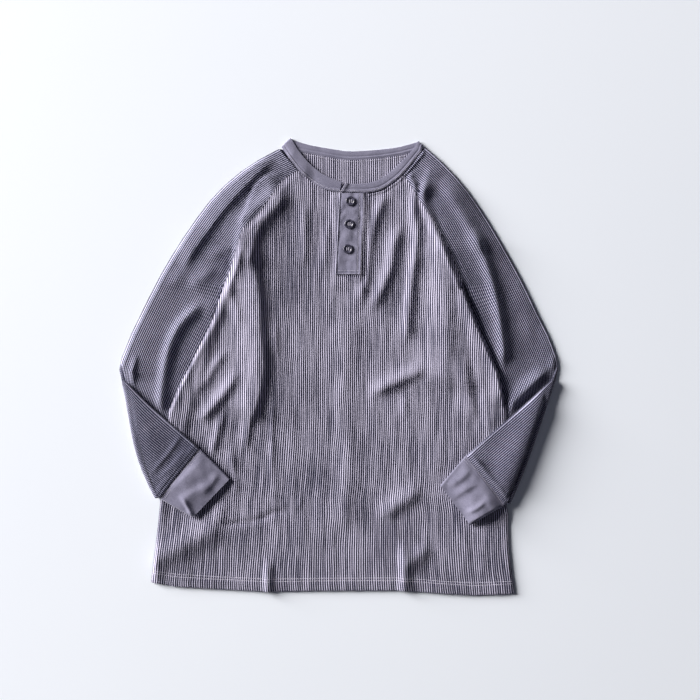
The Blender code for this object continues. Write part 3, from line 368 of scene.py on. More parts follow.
def curve(points, steps=6):
    """A smooth curve through the points (Catmull-Rom)."""
    knots = np.array(points, float)
    padded = np.vstack([2 * knots[0] - knots[1], knots, 2 * knots[-1] - knots[-2]])
    a, b, c, d = (padded[i : i + len(knots) - 1, None] for i in range(4))
    t = (np.arange(steps) / steps)[:, None]
    spans = 0.5 * (2 * b + (c - a) * t + (2 * a - 5 * b + 4 * c - d) * t**2 + (3 * b - a - 3 * c + d) * t**3)
    return np.vstack([spans.reshape(-1, knots.shape[1]), knots[-1]])


def run_along(line):
    """Length run at each point of a polyline."""
    return np.concatenate([[0.0], np.cumsum(np.hypot(*np.diff(line, axis=0).T))])


def nearest_on(line, x, y):
    """Distance to a polyline, the side of it (+1 on its right), and the share of its length there."""
    line = line[np.append(True, np.any(np.diff(line, axis=0) != 0.0, axis=1))]
    run = run_along(line)
    best = np.full(np.shape(x), np.inf)
    side = np.ones(np.shape(x))
    share = np.zeros(np.shape(x))
    for start, step, before, length in zip(line, np.diff(line, axis=0), run, np.diff(run)):
        dx, dy = x - start[0], y - start[1]
        along = np.clip((dx * step[0] + dy * step[1]) / length**2, 0.0, 1.0)
        off_x, off_y = dx - along * step[0], dy - along * step[1]
        distance = np.hypot(off_x, off_y)
        nearer = distance < best
        best = np.where(nearer, distance, best)
        side = np.where(nearer, np.where(off_x * step[1] - off_y * step[0] > 0, 1.0, -1.0), side)
        share = np.where(nearer, before + along * length, share)
    return best, side, share / run[-1]


def edge_fade(x, y, edges, reach):
    """0 on the edges and 1 beyond reach of them."""
    fade = np.ones(np.shape(x))
    for edge in edges:
        fade = np.minimum(fade, smooth(nearest_on(np.array(edge, float), x, y)[0] / reach))
    return fade


def fold_height(folds, x, y):
    """Sum of the folds' soft ridges and troughs, each fading out at the ends of its crest line."""
    total = np.zeros(np.shape(x))
    for fold in folds:
        line = curve(fold.line)
        reach = FOLD_REACH * max(fold.left, fold.right) + fold.level
        low, high = line.min(axis=0) - reach, line.max(axis=0) + reach
        near = (x > low[0]) & (x < high[0]) & (y > low[1]) & (y < high[1])
        if not near.any():
            continue
        distance, side, share = nearest_on(line, x[near], y[near])
        spread = np.where(side > 0, fold.right, fold.left)
        distance = np.where(side > 0, np.maximum(distance - fold.level, 0.0), distance)
        end = min(FOLD_END / run_along(line)[-1], MOST_END)
        ends = smooth(share / end) * smooth((1.0 - share) / end)
        total[near] += fold.rise * ends * bell(distance, spread)
    return total


def unevenness(x, y, cell_x, cell_y, seed):
    """Soft unevenness from -1 to 1, in cells of the given size."""
    size = 128
    values = np.random.default_rng(seed).uniform(-1.0, 1.0, (size, size))
    across, up = x / cell_x + size, y / cell_y + size
    i, j = np.floor(across).astype(int), np.floor(up).astype(int)
    a, b = smooth(across - i), smooth(up - j)

    def at(di, dj):
        return values[(i + di) % size, (j + dj) % size]

    return (at(0, 0) * (1 - a) + at(1, 0) * a) * (1 - b) + (at(0, 1) * (1 - a) + at(1, 1) * a) * b


def uneven(layers, x, y):
    """The soft unevenness of all these layers together."""
    return sum(layer.height * unevenness(x, y, *layer[1:]) for layer in layers)


def x_at(points, y):
    """x on a side edge at height y."""
    points = sorted(points, key=lambda p: p.y)
    return np.interp(y, [p.y for p in points], [p.x for p in points])


def y_at(points, x):
    """y on an edge that runs from left to right."""
    return np.interp(x, [p.x for p in points], [p.y for p in points])


def stations(start, *spans):
    """Places from the start on, in spans of (end, count of even steps)."""
    places = [start]
    for end, steps in spans:
        places += list(np.linspace(places[-1], end, steps + 1)[1:])
    return places


def grid(x, y, z):
    return np.stack([x, y, z], axis=-1)


# ---- materials ----
class Nodes:
    """A node tree, with short calls to add nodes and feed them values or other nodes' outputs."""

    def __init__(self, tree):
        self.tree = tree

    def feed(self, socket, value):
        if hasattr(value, "is_linked"):
            self.tree.links.new(value, socket)
        else:
            socket.default_value = value

    def add(self, kind, inputs=(), output=0, **settings):
        node = self.tree.nodes.new(kind)
        for name, value in settings.items():
            setattr(node, name, value)
        for name, value in dict(inputs).items():
            self.feed(node.inputs[name], value)
        return node.outputs[output]


class Finish(Nodes):
    """A material round its shader, with the patterns and sums that the finishes share."""

    def __init__(self, name, roughness, specular, sheen=0.0):
        self.material = bpy.data.materials.new(name)
        self.material.use_nodes = True
        super().__init__(self.material.node_tree)
        self.shader = self.tree.nodes["Principled BSDF"].inputs
        self.shader["Roughness"].default_value = roughness
        self.shader["Specular IOR Level"].default_value = specular
        self.shader["Sheen Weight"].default_value = sheen
        self.shader["Sheen Roughness"].default_value = 0.6
        self.shader["Sheen Tint"].default_value = (0.86, 0.84, 0.95, 1.0)
        self.place = self.add("ShaderNodeTexCoord", output="Object")

    def times(self, value, factor):
        return self.add("ShaderNodeMath", {0: value, 1: factor}, operation="MULTIPLY")

    def sum(self, total, *others):
        for other in others:
            total = self.add("ShaderNodeMath", {0: total, 1: other}, operation="ADD")
        return total

    def span(self, value, low, high, to_low=0.0, to_high=1.0):
        ends = {"From Min": low, "From Max": high, "To Min": to_low, "To Max": to_high}
        return self.add("ShaderNodeMapRange", {"Value": value, **ends})

    def noise(self, scale, detail):
        return self.add("ShaderNodeTexNoise", {"Vector": self.place, "Scale": scale, "Detail": detail})

    def colour(self, amount, low, high):
        """Base colour between two colours, which are the mixing node's seventh and eighth inputs."""
        mixed = self.add("ShaderNodeMix", {0: amount, 6: low, 7: high}, output=2, data_type="RGBA")
        self.feed(self.shader["Base Color"], mixed)

    def bump(self, height, depth):
        self.feed(self.shader["Normal"], self.add("ShaderNodeBump", {"Height": height, "Distance": depth}))


def knit_material(name, painted_valley_shade, crest, low, high):
    """Ribbed cotton: dark between the ribs, as painted shade, paler and fuzzy on them, with heathered yarn.
    """
    made = Finish(name, roughness=0.93, specular=0.12, sheen=0.35)
    uv = made.add("ShaderNodeUVMap", uv_map="knit")
    courses = made.times(made.add("ShaderNodeSeparateXYZ", {"Vector": uv}, output="Y"), 2 * math.pi)
    stitches = made.times(made.add("ShaderNodeMath", {0: courses}, operation="SINE"), 0.5)
    heather, patches = made.noise(900.0, 3.0), made.noise(14.0, 3.0)
    relief = made.add("ShaderNodeAttribute", output="Fac", attribute_name="relief")
    mottled = [made.span(pattern, 0.3, 0.7, -0.05, 0.05) for pattern in (heather, patches)]
    # Painted shade: where the relief is low, between the ribs, the colour goes to the dark valley colour.
    shade = made.sum(relief, made.times(stitches, 0.05), *mottled)
    made.colour(made.span(shade, low, high), painted_valley_shade, crest)
    made.bump(made.sum(made.times(stitches, 0.3), made.times(heather, 0.8)), 0.0002)
    return made.material


def jersey_material(name, low, high):
    """Fine plain jersey with a soft, worn face."""
    made = Finish(name, roughness=0.9, specular=0.12, sheen=0.3)
    fine, soft = made.noise(1300.0, 2.0), made.noise(60.0, 4.0)
    worn = made.sum(made.times(fine, 0.6), made.times(soft, 0.4))
    made.colour(made.span(worn, 0.35, 0.65), low, high)
    made.bump(fine, 0.00025)
    return made.material


def thread_material(name, low, high):
    made = Finish(name, roughness=0.7, specular=0.25, sheen=0.1)
    twist = made.noise(2200.0, 1.0)
    made.colour(twist, low, high)
    made.bump(twist, 0.0001)
    return made.material


def button_material(name, low, high):
    """Pearly dyed plastic, a little cloudy."""
    made = Finish(name, roughness=0.28, specular=0.5)
    cloud = made.noise(260.0, 3.0)
    made.colour(made.span(cloud, 0.35, 0.65), low, high)
    made.bump(cloud, 0.00006)
    return made.material


def floor_material(name, low, high):
    made = Finish(name, roughness=0.7, specular=0.2)
    made.colour(made.noise(1.5, 2.0), low, high)
    return made.material


# ---- mesh building ----
def show(name, data):
    """An object with this data, in the scene."""
    made = bpy.data.objects.new(name, data)
    bpy.context.scene.collection.objects.link(made)
    return made


def shade_smooth(mesh, sharp_from):
    mesh.polygons.foreach_set("use_smooth", [True] * len(mesh.polygons))
    mesh.set_sharp_from_angle(angle=math.radians(sharp_from))


def mesh_object(name, points, faces, finish, uv=None, relief=None, merge=None):
    """A finished piece, with its pattern coordinates and its relief, from 0 in a valley to 1 on a crest,
    which the knit's colour follows as painted shade in the valleys.
    """
    mesh = bpy.data.meshes.new(name)
    mesh.from_pydata((np.asarray(points) * MM).tolist(), [], faces)
    shape = bmesh.new()
    shape.from_mesh(mesh)
    if uv is not None:
        layer = shape.loops.layers.uv.new("knit")
        for face in shape.faces:
            for loop in face.loops:
                loop[layer].uv = uv[loop.vert.index]
    if relief is not None:
        layer = shape.verts.layers.float.new("relief")
        for vert in shape.verts:
            vert[layer] = relief[vert.index]
    if merge:
        bmesh.ops.remove_doubles(shape, verts=shape.verts, dist=merge * MM)
    bmesh.ops.delete(shape, geom=[v for v in shape.verts if not v.link_faces], context="VERTS")
    bmesh.ops.recalc_face_normals(shape, faces=shape.faces)
    shape.to_mesh(mesh)
    shape.free()
    shade_smooth(mesh, 60.0)
    mesh.materials.append(finish)
    return show(name, mesh)


def edge_strip(fine, first, last):
    """Faces between a run of outer points and the two inner points under its ends."""
    if len(fine) == 2:
        return [(fine[0], fine[1], last, first)]
    middle = len(fine) // 2
    strip = [(first, a, b) for a, b in zip(fine[:middle], fine[1 : middle + 1])]
    strip.append((first, fine[middle], last))
    strip += [(last, a, b) for a, b in zip(fine[middle:], fine[middle + 1 :])]
    return strip


def panel(name, outer, inner, finish, posts=None, tops=None, uv=None, relief=None, joined=None, merge=None):
    """A wall of cloth between an outer grid and an inner grid of points, (rows, columns, 3).

    The inner grid has a column for each of posts, the outer columns over it. tops gives the
    number of rows of faces between each two posts, so a slit is a stretch with fewer. joined marks
    the rows whose two side edges meet in a closed seam.
    """
    rows, fine = outer.shape[:2]
    coarse = inner.shape[1]
    posts = list(range(fine)) if posts is None else posts
    tops = [rows - 1] * (coarse - 1) if tops is None else tops
    joined = [False] * rows if joined is None else joined

    def out(row, column):
        return row * fine + column

    def under(row, column):
        return rows * fine + row * coarse + column

    faces = []
    for post in range(coarse - 1):
        columns = range(posts[post], posts[post + 1])
        for row in range(tops[post]):
            faces += [(out(row, c), out(row, c + 1), out(row + 1, c + 1), out(row + 1, c)) for c in columns]
            faces.append(
                (under(row, post), under(row + 1, post), under(row + 1, post + 1), under(row, post + 1))
            )
        for row in (0, tops[post]):
            run = [out(row, c) for c in range(posts[post], posts[post + 1] + 1)]
            faces += edge_strip(run, under(row, post), under(row, post + 1))
    heights = [0] + tops + [0]
    for post, column in enumerate(posts):
        for row in range(min(heights[post : post + 2]), max(heights[post : post + 2])):
            if not (joined[row] and joined[row + 1]):
                faces.append((out(row, column), out(row + 1, column), under(row + 1, post), under(row, post)))
    points = np.vstack([outer.reshape(-1, 3), inner.reshape(-1, 3)])
    if uv is not None:
        uv = np.vstack([uv.reshape(-1, 2), uv[:, posts].reshape(-1, 2)])
    if relief is not None:
        relief = np.concatenate([relief.ravel(), np.full(rows * coarse, 0.5)])
    return mesh_object(name, points, faces, finish, uv, relief, merge)


# ---- fold over the elbow ----
class Elbow:
    """The bend that carries the forearm back over the front. s runs out across the fold line and
    on through the bend, q along the fold line from the elbow, and w up through the flat sleeve."""

    def __init__(self, sleeve):
        start = np.array(sleeve.elbow, float)
        end = np.array(sleeve.fold_foot, float)
        self.length = math.dist(start, end)
        self.along = (end - start) / self.length
        self.outward = np.array([-self.along[1], self.along[0]])
        if self.outward[0] * sleeve.side < 0:
            self.outward = -self.outward
        self.start = start - FOLD_RADIUS * self.outward
        self.bulge = sleeve.bulge

    def arm(self, x, y):
        """s and q of a place on the upper arm."""
        dx, dy = x - self.start[0], y - self.start[1]
        return dx * self.outward[0] + dy * self.outward[1], dx * self.along[0] + dy * self.along[1]

    def forearm(self, x, y):
        """s and q of a place on the folded forearm, measured on through the bend."""
        s, q = self.arm(x, y)
        return BEND - s, q

    def place(self, s, q, w):
        turn = np.clip(s / FOLD_RADIUS, 0.0, math.pi)
        past = np.maximum(s - BEND, 0.0)
        flat = np.minimum(s, 0.0)
        bow = self.bulge * np.sin(math.pi * np.clip(q / self.length, 0.0, 1.0) ** FOLD_SKEW)
        out = flat + (FOLD_RADIUS - w) * np.sin(turn) - past + bow * bell(np.abs(flat) + past, FOLD_SPREAD)
        x = self.start[0] + out * self.outward[0] + q * self.along[0]
        y = self.start[1] + out * self.outward[1] + q * self.along[1]
        z = FOLD_RADIUS - (FOLD_RADIUS - w) * np.cos(turn)
        settled = smooth((inside_body(x, y) - DROP_START) / DROP_WIDTH)
        return grid(x, y, z - np.where(past > 0, FOREARM_DROP * settled, 0.0))


def inside_body(x, y):
    """How far inside the body's nearer side edge a place lies, across."""
    left = np.where(y < CHEST_Y, x_at(SIDE_LEFT, y), x_at(FLANK_LEFT, y))
    right = np.where(y < CHEST_Y, x_at(SIDE_RIGHT, y), x_at(FLANK_RIGHT, y))
    return np.minimum(x - left, right - x)


def covered(sleeve, x, y):
    """1 where a folded forearm or cuff lies overhead, 0 clear of it."""

    def past(start, end):
        run = (end - start) / math.dist(end, start)
        beyond = sleeve.side * ((x - start[0]) * run[1] - (y - start[1]) * run[0])
        return smooth(1.0 - beyond / COVER_REACH)

    top, tip, foot = np.array([sleeve.elbow, sleeve.end_top, sleeve.end_foot], float)
    lower = foot[1] - 0.5 * COVER_REACH
    return past(top, tip) * past(tip, foot) * smooth((y - lower) / COVER_REACH)


# ---- body ----
def armhole(sleeve, back):
    """Flank and raglan seam of one side as one edge, from the chest line up to the neck."""
    seam = [Point(*(row[2:] if back else row[:2])) for row in reversed(sleeve.raglan)]
    return sleeve.flank[:-1] + seam


def neckline(band, first_x, last_x):
    """The band's seam edge lowered by the seam gap, between two raglan seams."""
    seam = [Point(row.seam_x, row.seam_y - 1.4 * SEAM_GAP) for row in band]
    return sorted([p for p in seam if first_x < p.x < last_x], key=lambda p: p.x)


def panel_top(band, back):
    left, right = armhole(SLEEVE_RIGHT, back), armhole(SLEEVE_LEFT, back)
    return left + neckline(band, left[-1].x + 1.0, right[-1].x - 1.0) + right[::-1]


FRONT_BAND = BAND_FRONT_LEFT + BAND_FRONT_RIGHT
FRONT_NECK = neckline(FRONT_BAND, -math.inf, math.inf)
BODY_SIDES = [SIDE_LEFT + FLANK_LEFT[1:], SIDE_RIGHT + FLANK_RIGHT[1:]]
FRONT_RAGLANS = [[Point(*row[:2]) for row in rows] for rows in (RAGLAN_LEFT, RAGLAN_RIGHT)]


def tuck_edge(sleeve, y):
    """x of the sleeve's inner edge where it runs on under the body, down to the fold's foot."""
    high = x_at(sleeve.flank, TUCK_START_Y) + FLANK_GAP * sleeve.side
    elbow = Elbow(sleeve)
    low = elbow.start + elbow.length * elbow.along
    return np.interp(y, [low[1], TUCK_START_Y], [low[0], high])


def tuck_height(x, y, lead=0.0):
    """1 where the body rides over a sleeve that is tucked under its side, falling to 0 inwards,
    which starts lead further in."""
    total = np.zeros(np.shape(x))
    for sleeve in (SLEEVE_RIGHT, SLEEVE_LEFT):
        inward = -sleeve.side * (x - tuck_edge(sleeve, np.clip(y, TUCK_FOOT_Y, TUCK_START_Y)))
        over = 1.0 - smooth((inward - TUCK_INSET - lead) / TUCK_RAMP)
        total = np.maximum(total, over * smooth((TUCK_TOP_Y - y) / 30.0) * smooth((y - TUCK_END_Y) / 32.0))
    return total


def placket_height(y):
    """0 at the foot of the placket, 1 at its top."""
    return (y - PLACKET_FOOT_Y) / (PLACKET_TOP_Y - PLACKET_FOOT_Y)


def leaning(side, height):
    """x at this share of the height of an edge that leans from its foot to its top."""
    return side[1] + (side[0] - side[1]) * height


def placket_edge(side, y):
    return leaning(side, placket_height(y))


def placket_rise(x, y):
    """How far the plackets lift the front, and the step that the upper one leaves beside it."""
    left = smooth((x - (UNDER_LEFT - SLOPE_REACH)) / SLOPE_WIDTH)
    right = smooth(((UNDER_RIGHT + SLOPE_REACH) - x) / SLOPE_WIDTH)
    foot = smooth((y - (UNDER_FOOT_Y - FOOT_REACH)) / FOOT_WIDTH)
    height = placket_height(y)
    beside = x - placket_edge(PLACKET_RIGHT, y)
    step = PLACKET_STEP * smooth(beside / 0.8 + 0.4) * (1.0 - smooth((beside - STEP_LEVEL) / STEP_SLOPE))
    step = step * smooth(height * 6.0 + 0.8) * smooth((1.0 - height) * 7.0)
    return PLACKET_RISE * left * right * foot + step


def neck_ridge(x, y):
    """Seam allowance of the band, pressed down under the cloth beside it."""
    away = nearest_on(np.array(FRONT_NECK, float), x, y)[0]
    return (RIDGE_RIGHT + RIDGE_MORE * smooth((x - 10.0) / 40.0)) * bell(away - RIDGE_AWAY, RIDGE_WIDTH)


def front_underside(x, y):
    """Height of the front's inner face over the floor."""
    below_neck = edge_fade(x, y, [FRONT_NECK], NECK_FADE)
    fade = edge_fade(x, y, BODY_SIDES, SIDE_FADE) * edge_fade(x, y, FRONT_RAGLANS, RAGLAN_FADE) * below_neck
    under = np.maximum(covered(SLEEVE_RIGHT, x, y), covered(SLEEVE_LEFT, x, y))
    placket = placket_rise(x, y)
    flat = 1.0 - PLACKET_HOLD * placket / PLACKET_RISE
    loft = FRONT_LOFT * smooth((y - y_at(HEM, x) + 4.0) / LOFT_RUN)
    folds = fold_height(FRONT_FOLDS, x, y) + uneven(FRONT_SLACK, x, y)
    rise = np.maximum(loft + folds * flat, 0.0) * fade * (1.0 - PRESSED * under)
    creases = fold_height(FRONT_CREASES, x, y) * (1.0 - under) * flat
    creases = creases + fold_height(SEAM_FOLDS, x, y) * below_neck
    creases = creases + neck_ridge(x, y) * (1.0 - placket / PLACKET_RISE)
    return FRONT_BASE + rise + creases + placket + FRONT_TUCK_RISE * tuck_height(x, y, lead=2.0)


def slit_foot(top):
    """Share of the front's height, over the slit, that lies under the slit's foot."""
    middle = 0.5 * (NOTCH_LEFT + NOTCH_RIGHT)
    hem = y_at(HEM, middle)
    return (NOTCH_Y - hem) / (y_at(top, middle) - hem)


def posts_over(top, also=()):
    """x at the chest line of the inner face's columns: one on each corner of the top outline,
    but for corners of the neckline that crowd another."""
    marks = []
    for mark in sorted({p.x for p in top} | set(also)):
        crowds = marks and mark - marks[-1] < 0.8 * RIB_PITCH
        if crowds and marks[-1] not in also and abs(mark) < NECK_REACH:
            marks[-1] = mark
        elif not crowds or abs(mark) >= NECK_REACH:
            marks.append(mark)
    spans = [(b, max(1, math.ceil((b - a) / PANEL_STEP))) for a, b in zip(marks, marks[1:])]
    return np.array(stations(marks[0], *spans))


def split_ribs(xs, exact=()):
    """Even columns of ribs over the whole width, and the one nearest each inner station. Those at
    the ends and on the exact stations stand there exactly."""
    ends = [xs[0], *exact, xs[-1]]
    spans = [(b, round((b - a) * len(RIB_SHAPE) / RIB_PITCH)) for a, b in zip(ends, ends[1:])]
    fine = np.array(stations(xs[0], *spans))
    return fine, [int(np.argmin(np.abs(fine - x))) for x in xs]


def body_grid(post_x, levels, top):
    """x and y of a body panel's points: columns stand on post_x at the chest line."""
    share = (post_x - post_x[0]) / (post_x[-1] - post_x[0])
    foot_y = y_at(HEM, SIDE_LEFT[0].x + share * (SIDE_RIGHT[0].x - SIDE_LEFT[0].x))
    y = foot_y + np.array(levels)[:, None] * (y_at(top, post_x) - foot_y)
    low_left, low_right = x_at(SIDE_LEFT, y), x_at(SIDE_RIGHT, y)
    return np.where(y < CHEST_Y, low_left + share * (low_right - low_left), post_x), y


def sway(x, y, levels):
    """Sideways wander of the ribs, none on the panel's edges."""
    clear = edge_fade(x, y, BODY_SIDES, 14.0) * smooth((1.0 - np.array(levels)[:, None]) / 0.03)
    clear = clear * smooth(np.maximum(np.abs(x - 18.0) - 14.0, NOTCH_Y - 4.0 - y) / 5.0)
    return clear * uneven(RIB_SWAY, x, y)


def rib_relief(columns, y, seed):
    """Relief of the ribs, uneven down their length."""
    number = np.arange(columns) // len(RIB_SHAPE) + 0.0 * y
    wander = unevenness(number, y, 1.0, 44.0, seed) + 0.5 * unevenness(number, y, 1.0, 18.0, seed + 1)
    crest = RIB_FULL + RIB_WANDER * wander
    return np.clip(RIB_SHAPE[np.arange(columns) % len(RIB_SHAPE)] * crest, 0.0, 1.2)


def rib_pattern(columns, y):
    """Pattern coordinates: ribs across and courses up."""
    return np.stack([np.arange(columns) / len(RIB_SHAPE) + 0.0 * y, y / RIB_PITCH], axis=-1)


def hem_relief(x, y):
    """The turned-up hem: doubled cloth, with two stitch rows sunk in near its top."""
    up = y - y_at(HEM, x)
    step = HEM_STEP * (1.0 - smooth((up - HEM_DEPTH) / 2.5))
    roll = HEM_STEP * (1.0 - smooth(up / 2.0))
    return step - ROW_DEPTH * sum(bell(up - row, ROW_WIDTH) for row in HEM_ROWS) - roll


def make_front(finish):
    top = panel_top(FRONT_BAND, back=False)
    notch = slit_foot(top)
    levels = stations(0.0, (0.040, 20), (notch, 97), (0.97, 25), (1.0, 12))
    coarse = posts_over(top, also=(NOTCH_LEFT, NOTCH_RIGHT))
    fine, posts = split_ribs(coarse, (NOTCH_LEFT, NOTCH_RIGHT))
    inner_x, inner_y = body_grid(coarse, levels, top)
    x, y = body_grid(fine, levels, top)
    # The crests are lower and darker towards the hem.
    relief = rib_relief(len(fine), y, FRONT_SEED) * (1.0 - HEM_DARKENING * smooth((-20.0 - y) / 170.0))
    # Painted shadow: the crests are lowered and darkened beside the main fold on the chest, where its shadow
    # falls.
    painted_shadow = SHADOW_PATCH.depth * bell(x - SHADOW_PATCH.x, SHADOW_PATCH.across) * bell(y - SHADOW_PATCH.y, SHADOW_PATCH.up)
    relief = relief * (1.0 - painted_shadow)
    x = x + sway(x, y, levels)
    thick = CLOTH * (0.35 + 0.65 * edge_fade(x, y, BODY_SIDES, 4.0))
    ribs = relief * (0.3 + 0.7 * edge_fade(x, y, [FLANK_LEFT], 9.0))
    height = front_underside(x, y) + thick + RIB_LOW + (RIB_HIGH - RIB_LOW) * ribs
    inner = grid(inner_x, inner_y, front_underside(inner_x, inner_y))
    outer = grid(x, y, height + hem_relief(x, y))
    in_slit = [NOTCH_LEFT - 0.1 < a and b < NOTCH_RIGHT + 0.1 for a, b in zip(coarse, coarse[1:])]
    tops = [levels.index(notch) if slit else len(levels) - 1 for slit in in_slit]
    return panel("front_knit", outer, inner, finish, posts, tops, rib_pattern(len(fine), y), relief)


def make_back(finish):
    top = panel_top(BAND_BACK, back=True)
    coarse = posts_over(top)
    fine, posts = split_ribs(coarse)
    levels = stations(0.0, (0.9, 29), (1.0, 25))
    inner_x, inner_y = body_grid(coarse, levels, top)
    x, y = body_grid(fine, levels, top)
    relief = rib_relief(len(fine), y, BACK_SEED)
    open_above = smooth((y - y_at(FRONT_NECK, x) - 3.0) / 6.0) * smooth((90.0 - np.abs(x - 25.0)) / 12.0)
    lift = -0.2 + (BACK_RIBS + OPEN_RIBS * open_above) * relief
    outer = grid(x, y, BACK_BASE + TUCK_RISE * tuck_height(x, y) + CLOTH + lift)
    inner = grid(inner_x, inner_y, BACK_BASE + TUCK_RISE * tuck_height(inner_x, inner_y))
    return panel("back_knit", outer, inner, finish, posts, None, rib_pattern(len(fine), y), relief)


# ---- sleeves ----
def along_edge(points, shares):
    """Places at these shares of a polyline's length."""
    line = np.array(points, float)
    run = run_along(line)
    at = shares * run[-1]
    return np.stack([np.interp(at, run, line[:, 0]), np.interp(at, run, line[:, 1])], axis=-1)


def sleeve_rows(sleeve, elbow):
    """The sleeve's main rows, as the ends of its front layer, outer edge and back layer in s and q,
    with 1 for rows closed along the underarm."""
    gap = np.array([1.25 * SEAM_GAP * sleeve.side, 0.8 * SEAM_GAP])
    outer = along_edge(sleeve.outer, np.linspace(0.0, ARMPIT_REACH, len(sleeve.raglan)))
    rows = []
    for row, edge in zip(sleeve.raglan, outer):
        front, back = elbow.arm(*(row[:2] + gap)), elbow.arm(*(row[2:] + gap))
        rows.append((front, elbow.arm(*edge), back, 0))

    steps = 9
    outer = along_edge(sleeve.outer, np.linspace(ARMPIT_REACH, 1.0, steps + 1)[1:])
    foot = elbow.start + elbow.length * elbow.along
    under_y = np.linspace(sleeve.raglan[-1].front_y, foot[1], steps + 1)[1:]
    for count, (edge, y) in enumerate(zip(outer, under_y), 1):
        on_flank = x_at(sleeve.flank, y) + FLANK_GAP * sleeve.side
        x = on_flank if y > TUCK_START_Y else tuck_edge(sleeve, y)
        inner = elbow.arm(x, y) if count < steps else (0.0, elbow.length)
        place = elbow.arm(*edge)
        rows.append((inner, place, inner, 1))

    corner_s, top_q = place
    for quarter in (0.25, 0.5, 0.75, 1.0):
        inner = (quarter * BEND, elbow.length)
        rows.append((inner, (corner_s + quarter * (BEND - corner_s), top_q), inner, 1))

    last = np.array([(BEND, top_q), (BEND, elbow.length)])
    end = np.array([elbow.forearm(*sleeve.seam_top), elbow.forearm(*sleeve.seam_foot)])
    for share in (0.2, 0.4, 0.6, 0.8, 1.0):
        place, inner = last + share * (end - last)
        rows.append((inner, place, inner, 1))
    return rows


Rows = namedtuple("Rows", "front outer back closed run")


def finer_rows(rows, step):
    """The rows divided so that they follow each other by about step on the outer edge."""
    out = [rows[0]]
    for a, b in zip(rows, rows[1:]):
        parts = max(2, round(math.dist(a[1], b[1]) / step))
        ends = [(np.array(p), np.array(q)) for p, q in zip(a[:3], b[:3])]
        for count in range(1, parts + 1):
            mixed = [p + count / parts * (q - p) for p, q in ends]
            between = 0 if math.dist(a[0], a[2]) > 0.01 else 1
            out.append((*mixed, b[3] if a[3] == b[3] or count == parts else between))
    front, outer, back = (np.array([row[i] for row in out]) for i in range(3))
    return Rows(front, outer, back, np.array([row[3] for row in out]), run_along(outer))


def tube(rows, thick, stack, step, post_every, turned=None):
    """Outer and inner points of a flattened tube, as s, q and w, with the count of steps from the
    outer edge at each outer column. turned goes from 0 to 1 through the bend at the elbow, which
    the ribs of the lower layer cross aslant."""
    bend, corner = 0.5 * stack, 1.2
    hollow = 0.5 * stack - thick
    tangent = np.gradient(rows.outer, axis=0)
    tangent /= np.maximum(np.linalg.norm(tangent, axis=1), 1e-9)[:, None]
    spread = np.ones(SLANT_ROWS) / SLANT_ROWS
    closed = rows.closed > 0
    turned = np.ones(len(rows.outer)) if turned is None else turned
    bending = (turned > 0.0) & (turned < 1.0)
    order = np.arange(len(turned))

    def points(across, distance, w):
        place = rows.outer[:, None, :] + across[:, None, :] * distance[..., None]
        height = np.broadcast_to(np.asarray(w, float), distance.shape)
        return np.concatenate([place, height[..., None]], axis=-1)

    def layer(ends, face_w, inner_w, behind):
        across = ends - rows.outer
        length = np.linalg.norm(across, axis=1)
        across = across / length[:, None]
        slant = np.abs(across[:, 0] * tangent[:, 1] - across[:, 1] * tangent[:, 0])
        slant = np.interp(order, order[~bending], np.maximum(slant, 0.5)[~bending])
        slant = np.convolve(np.pad(slant, SLANT_ROWS // 2, mode="edge"), spread, mode="valid")
        behind = behind * (1.0 - turned)
        count = int(np.ceil((length * slant / step + behind).max()))
        reach = bend + np.maximum(np.arange(count + 1) - behind[:, None], 0.0) * step / slant[:, None]
        every = sorted(set(range(0, count + 1, post_every)) | {count})
        out_d = np.minimum(reach, np.where(closed, length - corner, length)[:, None])
        in_d = np.minimum(reach[:, every], np.where(closed, length - thick - corner, length)[:, None])
        rims = []
        for wall, w in ((0.0, face_w), (thick, inner_w)):
            far = (length - np.where(closed, wall, 0.0))[:, None]
            rims.append(points(across, far, np.where(closed, bend, w)[:, None]))
        out = np.hstack([points(across, out_d, face_w), rims[0]])
        return out, np.hstack([points(across, in_d, inner_w), rims[1]]), every + [count + 1]

    top, top_in, top_posts = layer(rows.front, stack, stack - thick, 0.0)
    low, low_in, low_posts = layer(rows.back, 0.0, thick, BEND_RIBS)
    across = 0.5 * (rows.front + rows.back) - rows.outer
    across /= np.linalg.norm(across, axis=1)[:, None]
    one = np.ones((len(rows.outer), 1))
    turn, turn_in = [], []
    for angle in np.radians(TURN_ANGLES):
        for radius, places in ((bend, turn), (hollow, turn_in)):
            away, w = bend - radius * math.cos(angle), bend + radius * math.sin(angle)
            places.append(points(across, one * away, w))
    outer = np.hstack([top[:, ::-1]] + turn + [low])
    inner = np.hstack([top_in[:, ::-1]] + turn_in + [low_in])
    last = top.shape[1] - 1
    first_low = last + 1 + len(TURN_ANGLES)
    posts = [last - p for p in reversed(top_posts)] + list(range(last + 1, first_low))
    posts += [first_low + p for p in low_posts]
    steps = np.concatenate([np.arange(last, -1, -1), np.zeros(len(TURN_ANGLES)), -np.arange(low.shape[1])])
    return outer, inner, posts, steps


def edge_runs(points, outer, under):
    """How far each point lies from its row's outer edge and from its underarm edge."""
    edges = (outer[:, None, :2], under[:, None, :2])
    return [np.linalg.norm(points[..., :2] - edge, axis=-1) for edge in edges]


